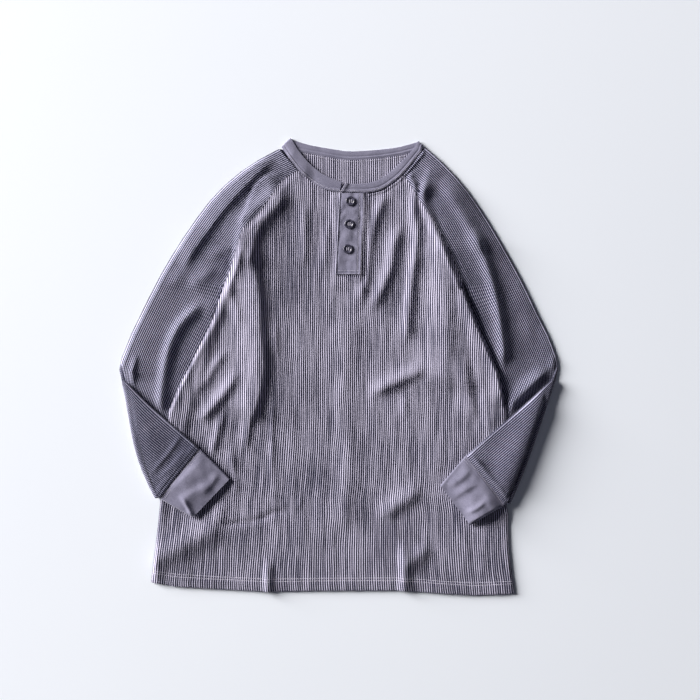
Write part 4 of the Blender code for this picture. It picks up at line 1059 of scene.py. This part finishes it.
def arm_rise(sleeve, folds, x, y, seed):
    """How far the upper arm's face rises: its folds, none where it is hidden, and those over the seam."""
    seams = [[Point(*row[:2]) for row in sleeve.raglan], sleeve.flank]
    hidden = np.maximum(covered(sleeve, x, y), smooth((inside_body(x, y) + 4.0) / 4.0) * (y < 120.0))
    fade = np.minimum(edge_fade(x, y, seams, 12.0), edge_fade(x, y, [sleeve.outer], 9.0)) * (1.0 - hidden)
    slack = 0.9 + 0.5 * unevenness(x, y, 30, 40, seed) + 0.3 * unevenness(x + y, x - y, 14, 30, seed + 1)
    rise = np.maximum(fold_height(folds, x, y) + slack, 0.0) * fade
    over_seam = fold_height(SEAM_FOLDS, x, y) * edge_fade(x, y, [FRONT_NECK], NECK_FADE) + neck_ridge(x, y)
    return rise + over_seam * smooth((y - 112.0) / 12.0) * smooth(edge_fade(x, y, [sleeve.outer], 14.0))


def forearm_rise(folds, place, past_bend, from_cuff, edge_run, seed):
    """How far the folded forearm's face rises: its folds, and the rolled seam before the cuff."""
    x, y = place[..., 0], place[..., 1]
    rise = np.maximum(fold_height(folds, x, y) + 0.5 + 0.5 * unevenness(x, y, 26, 34, seed), 0.0)
    rise = rise * smooth(past_bend / 7.0) * smooth(from_cuff / 10.0) * smooth(edge_run / 8.0)
    rolls = 1.3 * (1.0 - smooth((from_cuff - 9.0) / 5.0))
    rolls = rolls + 0.6 * sum(bell(from_cuff - row, 1.3) for row in SEAM_ROLLS)
    return rise + rolls * smooth(edge_run / 4.0)


def end_distance(elbow, sleeve, s, q):
    """How far a place on the forearm lies from the cuff seam."""
    top, foot = np.array(elbow.forearm(*sleeve.seam_top)), np.array(elbow.forearm(*sleeve.seam_foot))
    run = (foot - top) / math.dist(foot, top)
    return np.abs((s - top[0]) * run[1] - (q - top[1]) * run[0])


def make_sleeve(name, sleeve, arm_folds, forearm_folds, shade_and_flat, finish, seed):
    elbow = Elbow(sleeve)
    rows = finer_rows(sleeve_rows(sleeve, elbow), 0.55 * WAFFLE)
    turned = np.clip(rows.back[:, 0] / BEND, 0.0, 1.0)
    outer, inner, posts, steps = tube(rows, CLOTH, SLEEVE_STACK, 0.5 * WAFFLE, 6, turned)
    edge = outer[:, int(np.argmax(steps == 0)) + 1 + len(TURN_ANGLES) // 2]

    def placed(points, relief):
        s, q, w = points[..., 0], points[..., 1], points[..., 2]
        upper = w > 0.5 * SLEEVE_STACK
        flat = elbow.place(np.minimum(s, 0.0), q, w)
        rise = arm_rise(sleeve, arm_folds, flat[..., 0], flat[..., 1], seed)
        arm_face = 1.0 - smooth((s - 0.8 * HALF_BEND) / (0.4 * HALF_BEND))
        edge_run = np.minimum(*edge_runs(points, edge, rows.back))
        near_edge = smooth(edge_run / 4.0) * (1.0 - 0.6 * bell(s - HALF_BEND, HALF_BEND))
        w = w + np.where(upper & (s < -1.0), rise, 0.0)
        w = w + np.where(upper, arm_face, -(1.0 - arm_face)) * relief * near_edge
        from_cuff = end_distance(elbow, sleeve, s, q)
        fore = forearm_rise(forearm_folds, elbow.place(s, q, w), s - BEND, from_cuff, edge_run, seed + 2)
        return elbow.place(s, q, w - np.where(~upper & (s > BEND), fore, 0.0))

    bars = (np.arange(len(rows.run)) % 2)[:, None]
    ribs = np.where(steps == 0, EDGE_RELIEF, np.abs(steps) % 2)[None, :]
    # Painted shade: the crests are dimmed past the bend and on one upper arm, and the forearm's ribs are
    # evened out to a dim flat relief.
    past = smooth((outer[..., 0] - HALF_BEND) / 12.0)
    painted_dimming = past * shade_and_flat.forearm + shade_and_flat.arm
    relief = ribs * (BAR_LOW + BAR_MORE * bars) * (1.0 - CREST_PAINTED_SHADE * painted_dimming * (ribs > EDGE_RELIEF))
    relief = relief + past * shade_and_flat.flat * (FLAT_RELIEF - relief)
    uv = np.stack([steps[None, :] / 2.0 + 0.0 * bars, (rows.run / WAFFLE)[:, None] + 0.0 * ribs], axis=-1)
    face, back = placed(outer, WAFFLE_RISE * (relief - 0.25)), placed(inner, 0.0)
    return panel(name, face, back, finish, posts, None, uv, relief, joined=rows.closed > 0, merge=MERGE)


# ---- cuffs ----
class Cuff:
    """A cuff's four corners in s and q, and its length from the seam to the end."""

    def __init__(self, sleeve):
        self.elbow = Elbow(sleeve)
        corners = (sleeve.seam_top, sleeve.seam_foot, sleeve.end_top, sleeve.end_foot)
        self.top, self.foot, end_top, end_foot = (np.array(self.elbow.forearm(*corner)) for corner in corners)
        self.top_edge, self.foot_edge = end_top - self.top, end_foot - self.foot
        self.length = np.linalg.norm((self.top_edge + self.foot_edge) * 0.5)

    def across(self, share):
        """The two ends of the lines across the cuff at these shares of its length."""
        return self.top + share * self.top_edge, self.foot + share * self.foot_edge


def make_cuff(name, sleeve, folds, finish, seed):
    cuff = Cuff(sleeve)
    shares = np.linspace(1.25 * SEAM_GAP / cuff.length, 1.0, CUFF_LINES)
    edge, under = cuff.across(shares[:, None])
    rows = Rows(under, edge, under, np.ones(len(shares)), shares * cuff.length)
    outer, inner, posts, _ = tube(rows, CUFF_THICK, CUFF_STACK, 1.6, 8)

    def placed(points, face):
        s, q, w = points[..., 0], points[..., 1], points[..., 2]
        flat = cuff.elbow.place(s, q, w)
        x, y = flat[..., 0], flat[..., 1]
        from_outer, from_under = edge_runs(points, rows.outer, rows.back)
        run = rows.run[:, None]
        rise = fold_height(folds, x, y) + 0.8 * unevenness(x, y, 13, 17, seed)
        sunk = sum(bell(run - row, 1.0) for row in CUFF_ROWS) * 0.35
        rise = (rise * smooth(run / 5.0) - sunk + 0.3) * smooth(from_outer / 9.0) * smooth(from_under / 5.0)
        rise = rise - 0.9 * (1.0 - smooth(run / 4.5))
        w = w - np.where(w < 0.5 * CUFF_STACK, rise * face, 0.0)
        return cuff.elbow.place(s, q, w - 0.5 * (CUFF_STACK - SLEEVE_STACK))

    face, back = placed(outer, 1.0), placed(inner, 0.0)
    return panel(name, face, back, finish, posts, joined=rows.closed > 0, merge=MERGE)


# ---- neckband ----
def finer_band(rows, steps):
    return [Band(*row) for row in curve(rows, steps)]


def band_height(band):
    """Height of the middle of the band's front half, higher away from the shoulders."""
    return BAND_HIGH + band.rise + BAND_LIFT * smooth((345.0 - band.free_y) / 30.0)


def band_lean(band):
    """How much higher the seam edge stands than the free edge, over the folds at the shoulder."""
    return SHOULDER_LEAN * smooth((-34.0 - band.free_x) / 14.0) * smooth((352.0 - band.free_y) / 14.0)


def band_rows():
    """Each row of the band: free edge, seam edge and the outward direction of its face."""
    rows = []
    up = np.array([0.0, 0.0, 1.0])
    turn_radius = 0.5 * (BAND_HIGH - BAND_LOW)
    middle = 0.5 * (BAND_HIGH + BAND_LOW)

    def edges(band, z, lean=0.0):
        return np.array([band.free_x, band.free_y, z]), np.array([band.seam_x, band.seam_y, z + lean])

    def tip(band, side, first_angle):
        free, seam = edges(band, middle)
        outward = np.cross((free - seam) / np.linalg.norm(free - seam), up)
        outward = outward if outward[0] * side > 0 else -outward
        inset = (turn_radius + 0.5 * BAND_THICK) * outward
        for angle in np.radians(np.linspace(first_angle, -first_angle, 7)):
            face = math.cos(angle) * outward + math.sin(angle) * up
            offset = turn_radius * face - inset
            rows.append((free + offset, seam + offset, face))

    for band in finer_band(BAND_FRONT_LEFT, 8):
        rows.append((*edges(band, band_height(band), band_lean(band)), up))
    tip(TIP_LEFT, -1, 90.0)
    for band in finer_band(BAND_BACK, 10):
        rows.append((*edges(band, BAND_LOW), -up))
    tip(TIP_RIGHT, 1, -90.0)
    for band in finer_band(BAND_FRONT_RIGHT, 8):
        rows.append((*edges(band, band_height(band)), up))
    return rows


def band_profile(share, width):
    """Half thickness of the band over its width: rounded, and sunk along its stitching."""
    along = share * width
    rounded = 0.26 + 0.30 * np.sin(math.pi * share) ** 0.6
    return rounded - 0.20 * bell(along - 5.6, 1.1) + 0.12 * bell(along - 3.2, 1.2)


def make_neckband(finish):
    outer, inner = [], []
    shares = np.array(BAND_SHARES)
    for free, seam, face in band_rows():
        across = seam + shares[:, None] * (free - seam)
        half = band_profile(shares, np.linalg.norm(free - seam))
        soft = 0.12 * unevenness(across[:, 0], across[:, 1], 9, 9, 41) * smooth(half / 0.5 - 0.3)
        outer.append(across + face * (BAND_THICK * half + soft)[:, None])
        inner.append(across - face * (BAND_THICK * half)[:, None])
    return panel("neckband_jersey", np.array(outer), np.array(inner), finish)


# ---- placket ----
def strip_points(left, right, top_y, foot_y, rows, columns):
    height = np.linspace(0.0, 1.0, rows)[:, None]
    low_x = leaning(left, height)
    x = low_x + np.linspace(0.0, 1.0, columns) * (leaning(right, height) - low_x)
    return x, foot_y + height * (top_y - foot_y) + 0.0 * x


def placket_base(x, y):
    return front_underside(x, y) + CLOTH + PLACKET_SEAT + SEAM_GAP


def placket_relief(x, y):
    """Pressed edges with a stitch row inside them, a stitched box at the foot and small puckers."""
    from_left, from_right = x - placket_edge(PLACKET_LEFT, y), placket_edge(PLACKET_RIGHT, y) - x
    edge = np.minimum(np.minimum(from_left, from_right), y - PLACKET_FOOT_Y)
    roll = -0.7 * (1.0 - np.sqrt(np.clip(edge / 0.8, 0.0, 1.0)))
    sewn_down = 0.25 * (1.0 - smooth((PLACKET_TOP_Y - y) / 6.0))
    sunk = bell(edge - 3.0, 0.9) + 1.2 * bell(from_right - 5.6, 1.1)
    lip = 0.9 * bell(from_left - 1.5, 0.9) + 0.5 * bell(from_right - 2.0, 1.0)
    soft = uneven(PLACKET_SLACK, x, y) * smooth(edge / 5.0)
    return np.maximum(roll - sewn_down - 0.4 * sunk + lip + soft, -1.2)


def make_plackets(finish):
    x, y = strip_points(PLACKET_LEFT, PLACKET_RIGHT, PLACKET_TOP_Y, PLACKET_FOOT_Y, 110, 60)
    base = placket_base(x, y)
    face = base + CLOTH + placket_relief(x, y)
    top = panel("placket_top_jersey", grid(x, y, face), grid(x, y, base), finish)
    x, y = strip_points((UNDER_LEFT,) * 2, (UNDER_RIGHT,) * 2, PLACKET_TOP_Y, UNDER_FOOT_Y, 30, 10)
    base = FRONT_BASE + 0.0 * x
    under = panel("placket_under_jersey", grid(x, y, base + CLOTH), grid(x, y, base), finish)
    return top, under


# ---- buttons ----
def evaluated_mesh(made, name):
    graph = bpy.context.evaluated_depsgraph_get()
    mesh = bpy.data.meshes.new_from_object(made.evaluated_get(graph), depsgraph=graph)
    mesh.name = name
    return mesh


def drill(made, x, y):
    """Cuts one thread hole through a button and gives back the cutter."""
    hole = bmesh.new()
    radius = BUTTON_HOLE_RADIUS * MM
    depth = 4 * BUTTON_THICK * MM
    bmesh.ops.create_cone(hole, cap_ends=True, segments=14, radius1=radius, radius2=radius, depth=depth)
    bmesh.ops.translate(hole, verts=hole.verts, vec=(x * MM, y * MM, 0))
    mesh = bpy.data.meshes.new("hole")
    hole.to_mesh(mesh)
    hole.free()
    cutter = show("hole", mesh)
    cut = made.modifiers.new("hole", "BOOLEAN")
    cut.operation = "DIFFERENCE"
    cut.object = cutter
    return cutter


def make_button(name, place, finish):
    """A turned button with a raised rim and a dished middle, and four thread holes cut through."""
    seat = float(placket_base(np.array([place.x]), np.array([place.y]))[0]) + CLOTH + 0.1
    around = 48
    rings = [
        (share * BUTTON_RADIUS * math.cos(turn), share * BUTTON_RADIUS * math.sin(turn), z * BUTTON_THICK)
        for share, z in BUTTON_PROFILE for turn in 2 * math.pi * np.arange(around) / around
    ]
    crown = len(rings)
    foot, last = crown + 1, crown - around
    sides = [(i, (i + 1) % around) for i in range(around)]
    faces = [
        (low + i, low + around + i, low + around + j, low + j)
        for low in range(0, last, around) for i, j in sides
    ]
    for i, j in sides:
        faces += [(crown, i, j), (foot, last + j, last + i)]
    middle = [(0.0, 0.0, BUTTON_DISH * BUTTON_THICK), (0.0, 0.0, 0.0)]
    made = mesh_object(name, rings + middle, faces, finish)
    reach = (-BUTTON_HOLE_REACH, BUTTON_HOLE_REACH)
    cutters = [drill(made, x, y) for x in reach for y in reach]
    mesh = evaluated_mesh(made, name)
    made.modifiers.clear()
    made.data = mesh
    for cutter in cutters:
        bpy.data.objects.remove(cutter)
    mesh.transform(Matrix.Translation((place.x * MM, place.y * MM, seat * MM)))
    shade_smooth(mesh, 40.0)
    return made, seat


# ---- sewing ----
STITCH_SIZES = {"Stitch pitch": 2.8, "Stitch length": 2.1, "Thread width": 0.6}
STITCH_SEED = 7


def stitch_tree(finish):
    """Stitches along every path: each a small rounded length of thread lying on the cloth."""
    made = Nodes(bpy.data.node_groups.new("stitches", "GeometryNodeTree"))
    face = made.tree.interface
    face.new_socket("Geometry", in_out="INPUT", socket_type="NodeSocketGeometry")
    for label, size in STITCH_SIZES.items():
        face.new_socket(label, in_out="INPUT", socket_type="NodeSocketFloat").default_value = size * MM
    face.new_socket("Seed", in_out="INPUT", socket_type="NodeSocketInt").default_value = STITCH_SEED
    face.new_socket("Geometry", in_out="OUTPUT", socket_type="NodeSocketGeometry")
    given = made.tree.nodes.new("NodeGroupInput").outputs
    length, width = given["Stitch length"], given["Thread width"]
    spaced = {"Curve": given["Geometry"], "Length": given["Stitch pitch"]}
    line = made.add("GeometryNodeResampleCurve", spaced, mode="LENGTH")
    ball = made.add("GeometryNodeMeshUVSphere", {"Segments": 6, "Rings": 4, "Radius": 0.5})
    size = made.add("ShaderNodeCombineXYZ", {"X": length, "Y": width, "Z": width})
    tangent = made.add("GeometryNodeInputTangent")
    turn = made.add("FunctionNodeAlignRotationToVector", {"Vector": tangent}, axis="X")
    # The random node's third and fourth inputs and second output are its plain numbers.
    ends = {2: 0.85, 3: 1.15, "Seed": given["Seed"]}
    share = made.add("FunctionNodeRandomValue", ends, output=1, data_type="FLOAT")
    varied = made.add("ShaderNodeVectorMath", {0: size, "Scale": share}, operation="SCALE")
    laid = {"Points": line, "Instance": ball, "Rotation": turn, "Scale": varied}
    placed = made.add("GeometryNodeInstanceOnPoints", laid)
    stitches = made.add("GeometryNodeRealizeInstances", {"Geometry": placed})
    dressed = made.add("GeometryNodeSetMaterial", {"Geometry": stitches, "Material": finish})
    made.feed(made.tree.nodes.new("NodeGroupOutput").inputs["Geometry"], dressed)
    return made.tree


def make_stitches(name, paths, tree, *sizes):
    """A row of stitches along each path of points, as one plain mesh."""
    line = bpy.data.curves.new(name, "CURVE")
    line.dimensions = "3D"
    for path in paths:
        spline = line.splines.new("POLY")
        spline.points.add(len(path) - 1)
        spline.points.foreach_set("co", np.hstack([path * MM, np.ones((len(path), 1))]).ravel())
    carrier = show(name + "_path", line)
    modifier = carrier.modifiers.new("stitches", "NODES")
    modifier.node_group = tree
    sockets = {s.name: s.identifier for s in tree.interface.items_tree if s.in_out == "INPUT"}
    for label, size in zip(STITCH_SIZES, sizes or STITCH_SIZES.values()):
        modifier[sockets[label]] = size * MM
    modifier[sockets["Seed"]] = STITCH_SEED
    mesh = evaluated_mesh(carrier, name)
    bpy.data.objects.remove(carrier)
    mesh.polygons.foreach_set("use_smooth", [True] * len(mesh.polygons))
    return show(name, mesh)


def path_on(surface, x, y, lift=0.0):
    return grid(x, y, surface(x, y) + lift)


def front_crest(x, y):
    """Height of the rib crests on the front, for what is sewn on it."""
    return front_underside(x, y) + CLOTH + 0.5 * RIB_HIGH + hem_relief(x, y)


def hem_paths():
    x = np.arange(SIDE_LEFT[0].x + 3.0, SIDE_RIGHT[0].x - 2.0, 2.0)
    foot = y_at(HEM, x)
    left, right = x_at(SIDE_LEFT, foot + HEM_DEPTH), x_at(SIDE_RIGHT, foot + HEM_DEPTH)
    keep = (x > left + 2.0) & (x < right - 2.0)
    return [path_on(front_crest, x[keep], (foot + row)[keep], 0.32) for row in HEM_ROWS]


def placket_face(x, y):
    return placket_base(x, y) + CLOTH + placket_relief(x, y) + 0.1


def placket_paths():
    def side(edge, inset, low, high, aside=0.0):
        y = np.linspace(PLACKET_FOOT_Y + low, PLACKET_TOP_Y + high, 60)
        return path_on(placket_face, placket_edge(edge, y) + inset, y) + np.array([aside, 0.0, 0.15])

    x = np.linspace(PLACKET_LEFT[1] + 1.0, PLACKET_RIGHT[1] - 1.0, 24)
    return [
        side(PLACKET_LEFT, 1.2, 1.0, 1.0, -0.5),
        side(PLACKET_RIGHT, -1.5, 1.0, -1.0, 1.6),
        side(PLACKET_RIGHT, -6.0, 2.6, -1.0),
        path_on(placket_face, x, np.full(24, PLACKET_FOOT_Y + 1.2), 0.15),
        path_on(placket_face, x + 0.6, np.full(24, PLACKET_FOOT_Y + 2.6 + 3.6)),
    ]


def band_paths():
    """Rows beside the band's seam round the neck, and one down the piping at its right end."""

    def across(band, share):
        x = band.seam_x + share * (band.free_x - band.seam_x)
        return x, band.seam_y + share * (band.free_y - band.seam_y)

    paths = []
    for rows in (BAND_FRONT_LEFT, BAND_FRONT_RIGHT):
        points = []
        for band in finer_band(rows, 8):
            x, y = across(band, BAND_ROW)
            lean = (1.0 - BAND_ROW) * band_lean(band) * (x < 0)
            points.append((x, y, band_height(band) + lean + 0.56 * BAND_THICK))
        paths.append(np.array(points))
    x, y = across(band, np.linspace(0.03, 0.97, 9))
    paths.append(grid(x + 1.2, y, np.full(9, band_height(band) + 0.55 * BAND_THICK)))
    back = [
        (row.seam_x, row.seam_y - BACK_ROW)
        for row in finer_band(BAND_BACK, 10) if -52.0 < row.seam_x < 104.0
    ]
    x, y = np.array(back).T
    paths.append(grid(x, y, np.full(len(x), BACK_BASE + CLOTH + 0.95)))
    return paths


def cuff_paths(sleeve):
    cuff = Cuff(sleeve)
    paths = []
    for row in CUFF_ROWS:
        a, b = cuff.across(row / cuff.length)
        line = a + np.linspace(0.04, 0.96, 50)[:, None] * (b - a)
        w = np.full(len(line), -0.5 * (CUFF_STACK - SLEEVE_STACK) - 0.15)
        paths.append(cuff.elbow.place(line[:, 0], line[:, 1], w))
    return paths


def thread_bars(place, seat):
    """Two bars of thread over a button's holes, bent down into them."""
    along = np.linspace(-1.0, 1.0, 5) * (BUTTON_HOLE_REACH + 0.5)
    z = seat + BUTTON_DISH * BUTTON_THICK + 0.25 - 0.5 * np.abs(along) ** 3 / 8
    return [grid(place.x + side * BUTTON_HOLE_REACH + 0 * along, place.y + along, z) for side in (-1, 1)]


# ---- the garment ----
# The near-black valley colours of the knits are painted shade between the ribs, tinted blue like the shade.
body_knit = knit_material(
    "body_thermal_knit", (0.010, 0.013, 0.042, 1), (0.640, 0.612, 0.782, 1), low=0.64, high=0.905
)
sleeve_knit = knit_material(
    "sleeve_waffle_knit", (0.009, 0.011, 0.034, 1), (0.700, 0.690, 0.930, 1), low=0.55, high=0.86
)
jersey = jersey_material("rib_jersey", (0.142, 0.139, 0.205, 1), (0.268, 0.262, 0.362, 1))
thread = thread_material("sewing_thread", (0.52, 0.50, 0.61, 1), (0.80, 0.78, 0.90, 1))
plastic = button_material("button_plastic", (0.016, 0.016, 0.030, 1), (0.085, 0.082, 0.125, 1))

front = make_front(body_knit)
back = make_back(body_knit)
sleeve_right = make_sleeve(
    "sleeve_right_knit", SLEEVE_RIGHT, RIGHT_SLEEVE_FOLDS, RIGHT_FOREARM_FOLDS, RIGHT_SHADE_AND_FLAT, sleeve_knit, 61
)
sleeve_left = make_sleeve(
    "sleeve_left_knit", SLEEVE_LEFT, LEFT_SLEEVE_FOLDS, LEFT_FOREARM_FOLDS, LEFT_SHADE_AND_FLAT, sleeve_knit, 71
)
cuff_right = make_cuff("cuff_right_jersey", SLEEVE_RIGHT, RIGHT_CUFF_FOLDS, jersey, 81)
cuff_left = make_cuff("cuff_left_jersey", SLEEVE_LEFT, LEFT_CUFF_FOLDS, jersey, 91)
neckband = make_neckband(jersey)
placket_top, placket_under = make_plackets(jersey)

tree = stitch_tree(thread)
buttons = []
for count, place in enumerate(BUTTONS, 1):
    button, seat = make_button(f"button_{count}_face", place, plastic)
    sewn = make_stitches(f"button_{count}_thread", thread_bars(place, seat), tree, 1.3, 2.2, 1.1)
    buttons += [(button, "button_plastic", f"button_{count}"), (sewn, "smooth_jersey", None)]
hem_stitches = make_stitches("hem_stitches", hem_paths(), tree, 2.3, 2.1, 0.85)
placket_stitches = make_stitches("placket_stitches", placket_paths(), tree, 2.2, 1.8, 0.55)
band_stitches = make_stitches("neckband_stitches", band_paths(), tree, 2.2, 1.8, 0.7)
cuff_right_stitches = make_stitches("cuff_right_stitches", cuff_paths(SLEEVE_RIGHT), tree)
cuff_left_stitches = make_stitches("cuff_left_stitches", cuff_paths(SLEEVE_LEFT), tree)

PIECES = [
    (front, "body_knit", "body_front"), (back, "body_knit", "body_back"),
    (sleeve_right, "sleeve_knit", "sleeve_right"), (sleeve_left, "sleeve_knit", "sleeve_left"),
    (cuff_right, "smooth_jersey", "cuff_right"), (cuff_left, "smooth_jersey", "cuff_left"),
    (neckband, "smooth_jersey", "neckband"), (placket_top, "smooth_jersey", "placket_top"),
    (placket_under, "smooth_jersey", "placket_under"), (hem_stitches, "body_knit", None),
    (placket_stitches, "smooth_jersey", None), (band_stitches, "smooth_jersey", None),
    (cuff_right_stitches, "smooth_jersey", None), (cuff_left_stitches, "smooth_jersey", None), *buttons,
]
for piece, slot, node in PIECES:
    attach(piece, "root")
    if node:
        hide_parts(node)

# ---- floor, light and camera ----
FLOOR_REACH, FLOOR_DROP = 4, 0.0004  # in metres, as all that follows
corners = [(x * FLOOR_REACH, y * FLOOR_REACH, -FLOOR_DROP) for x, y in ((-1, -1), (1, -1), (1, 1), (-1, 1))]
floor_mesh = bpy.data.meshes.new("floor")
floor_mesh.from_pydata(corners, [], [(0, 1, 2, 3)])
floor_mesh.materials.append(floor_material("white_floor", (0.835, 0.885, 0.965, 1), (0.865, 0.912, 0.985, 1)))
show("floor", floor_mesh)


def area_light(name, place, size, power, colour):
    """A round soft lamp that shines at the middle of the garment."""
    lamp = bpy.data.lights.new(name, "AREA")
    lamp.shape = "DISK"
    lamp.size = size
    lamp.energy = power
    lamp.color = colour
    made = show(name, lamp)
    made.location = place
    made.rotation_euler = (-Vector(place)).to_track_quat("-Z", "Y").to_euler()


area_light("window", (-9.55, 4.42, 4.1), 6.9, 3560.0, (1.0, 0.968, 0.94))
area_light("ceiling", (0.2, 0.2, 2.6), 2.5, 3.4, (0.80, 0.82, 1.0))
scene = bpy.context.scene
scene.world = bpy.data.worlds.new("room")
scene.world.use_nodes = True
room = scene.world.node_tree.nodes["Background"].inputs
room["Color"].default_value = (0.85, 0.85, 1.0, 1.0)
room["Strength"].default_value = 0.03
scene.view_settings.view_transform = "Standard"

VIEW_WIDTH, VIEW_HEIGHT = 1.085, 2.0
VIEW_MIDDLE = (0.0181, 0.0264, 0.006)
lens = bpy.data.cameras.new("camera")
lens.sensor_width = 36.0
lens.sensor_fit = "HORIZONTAL"
lens.lens = lens.sensor_width * VIEW_HEIGHT / VIEW_WIDTH
scene.camera = show("camera", lens)
scene.camera.location = (*VIEW_MIDDLE[:2], VIEW_MIDDLE[2] + VIEW_HEIGHT)
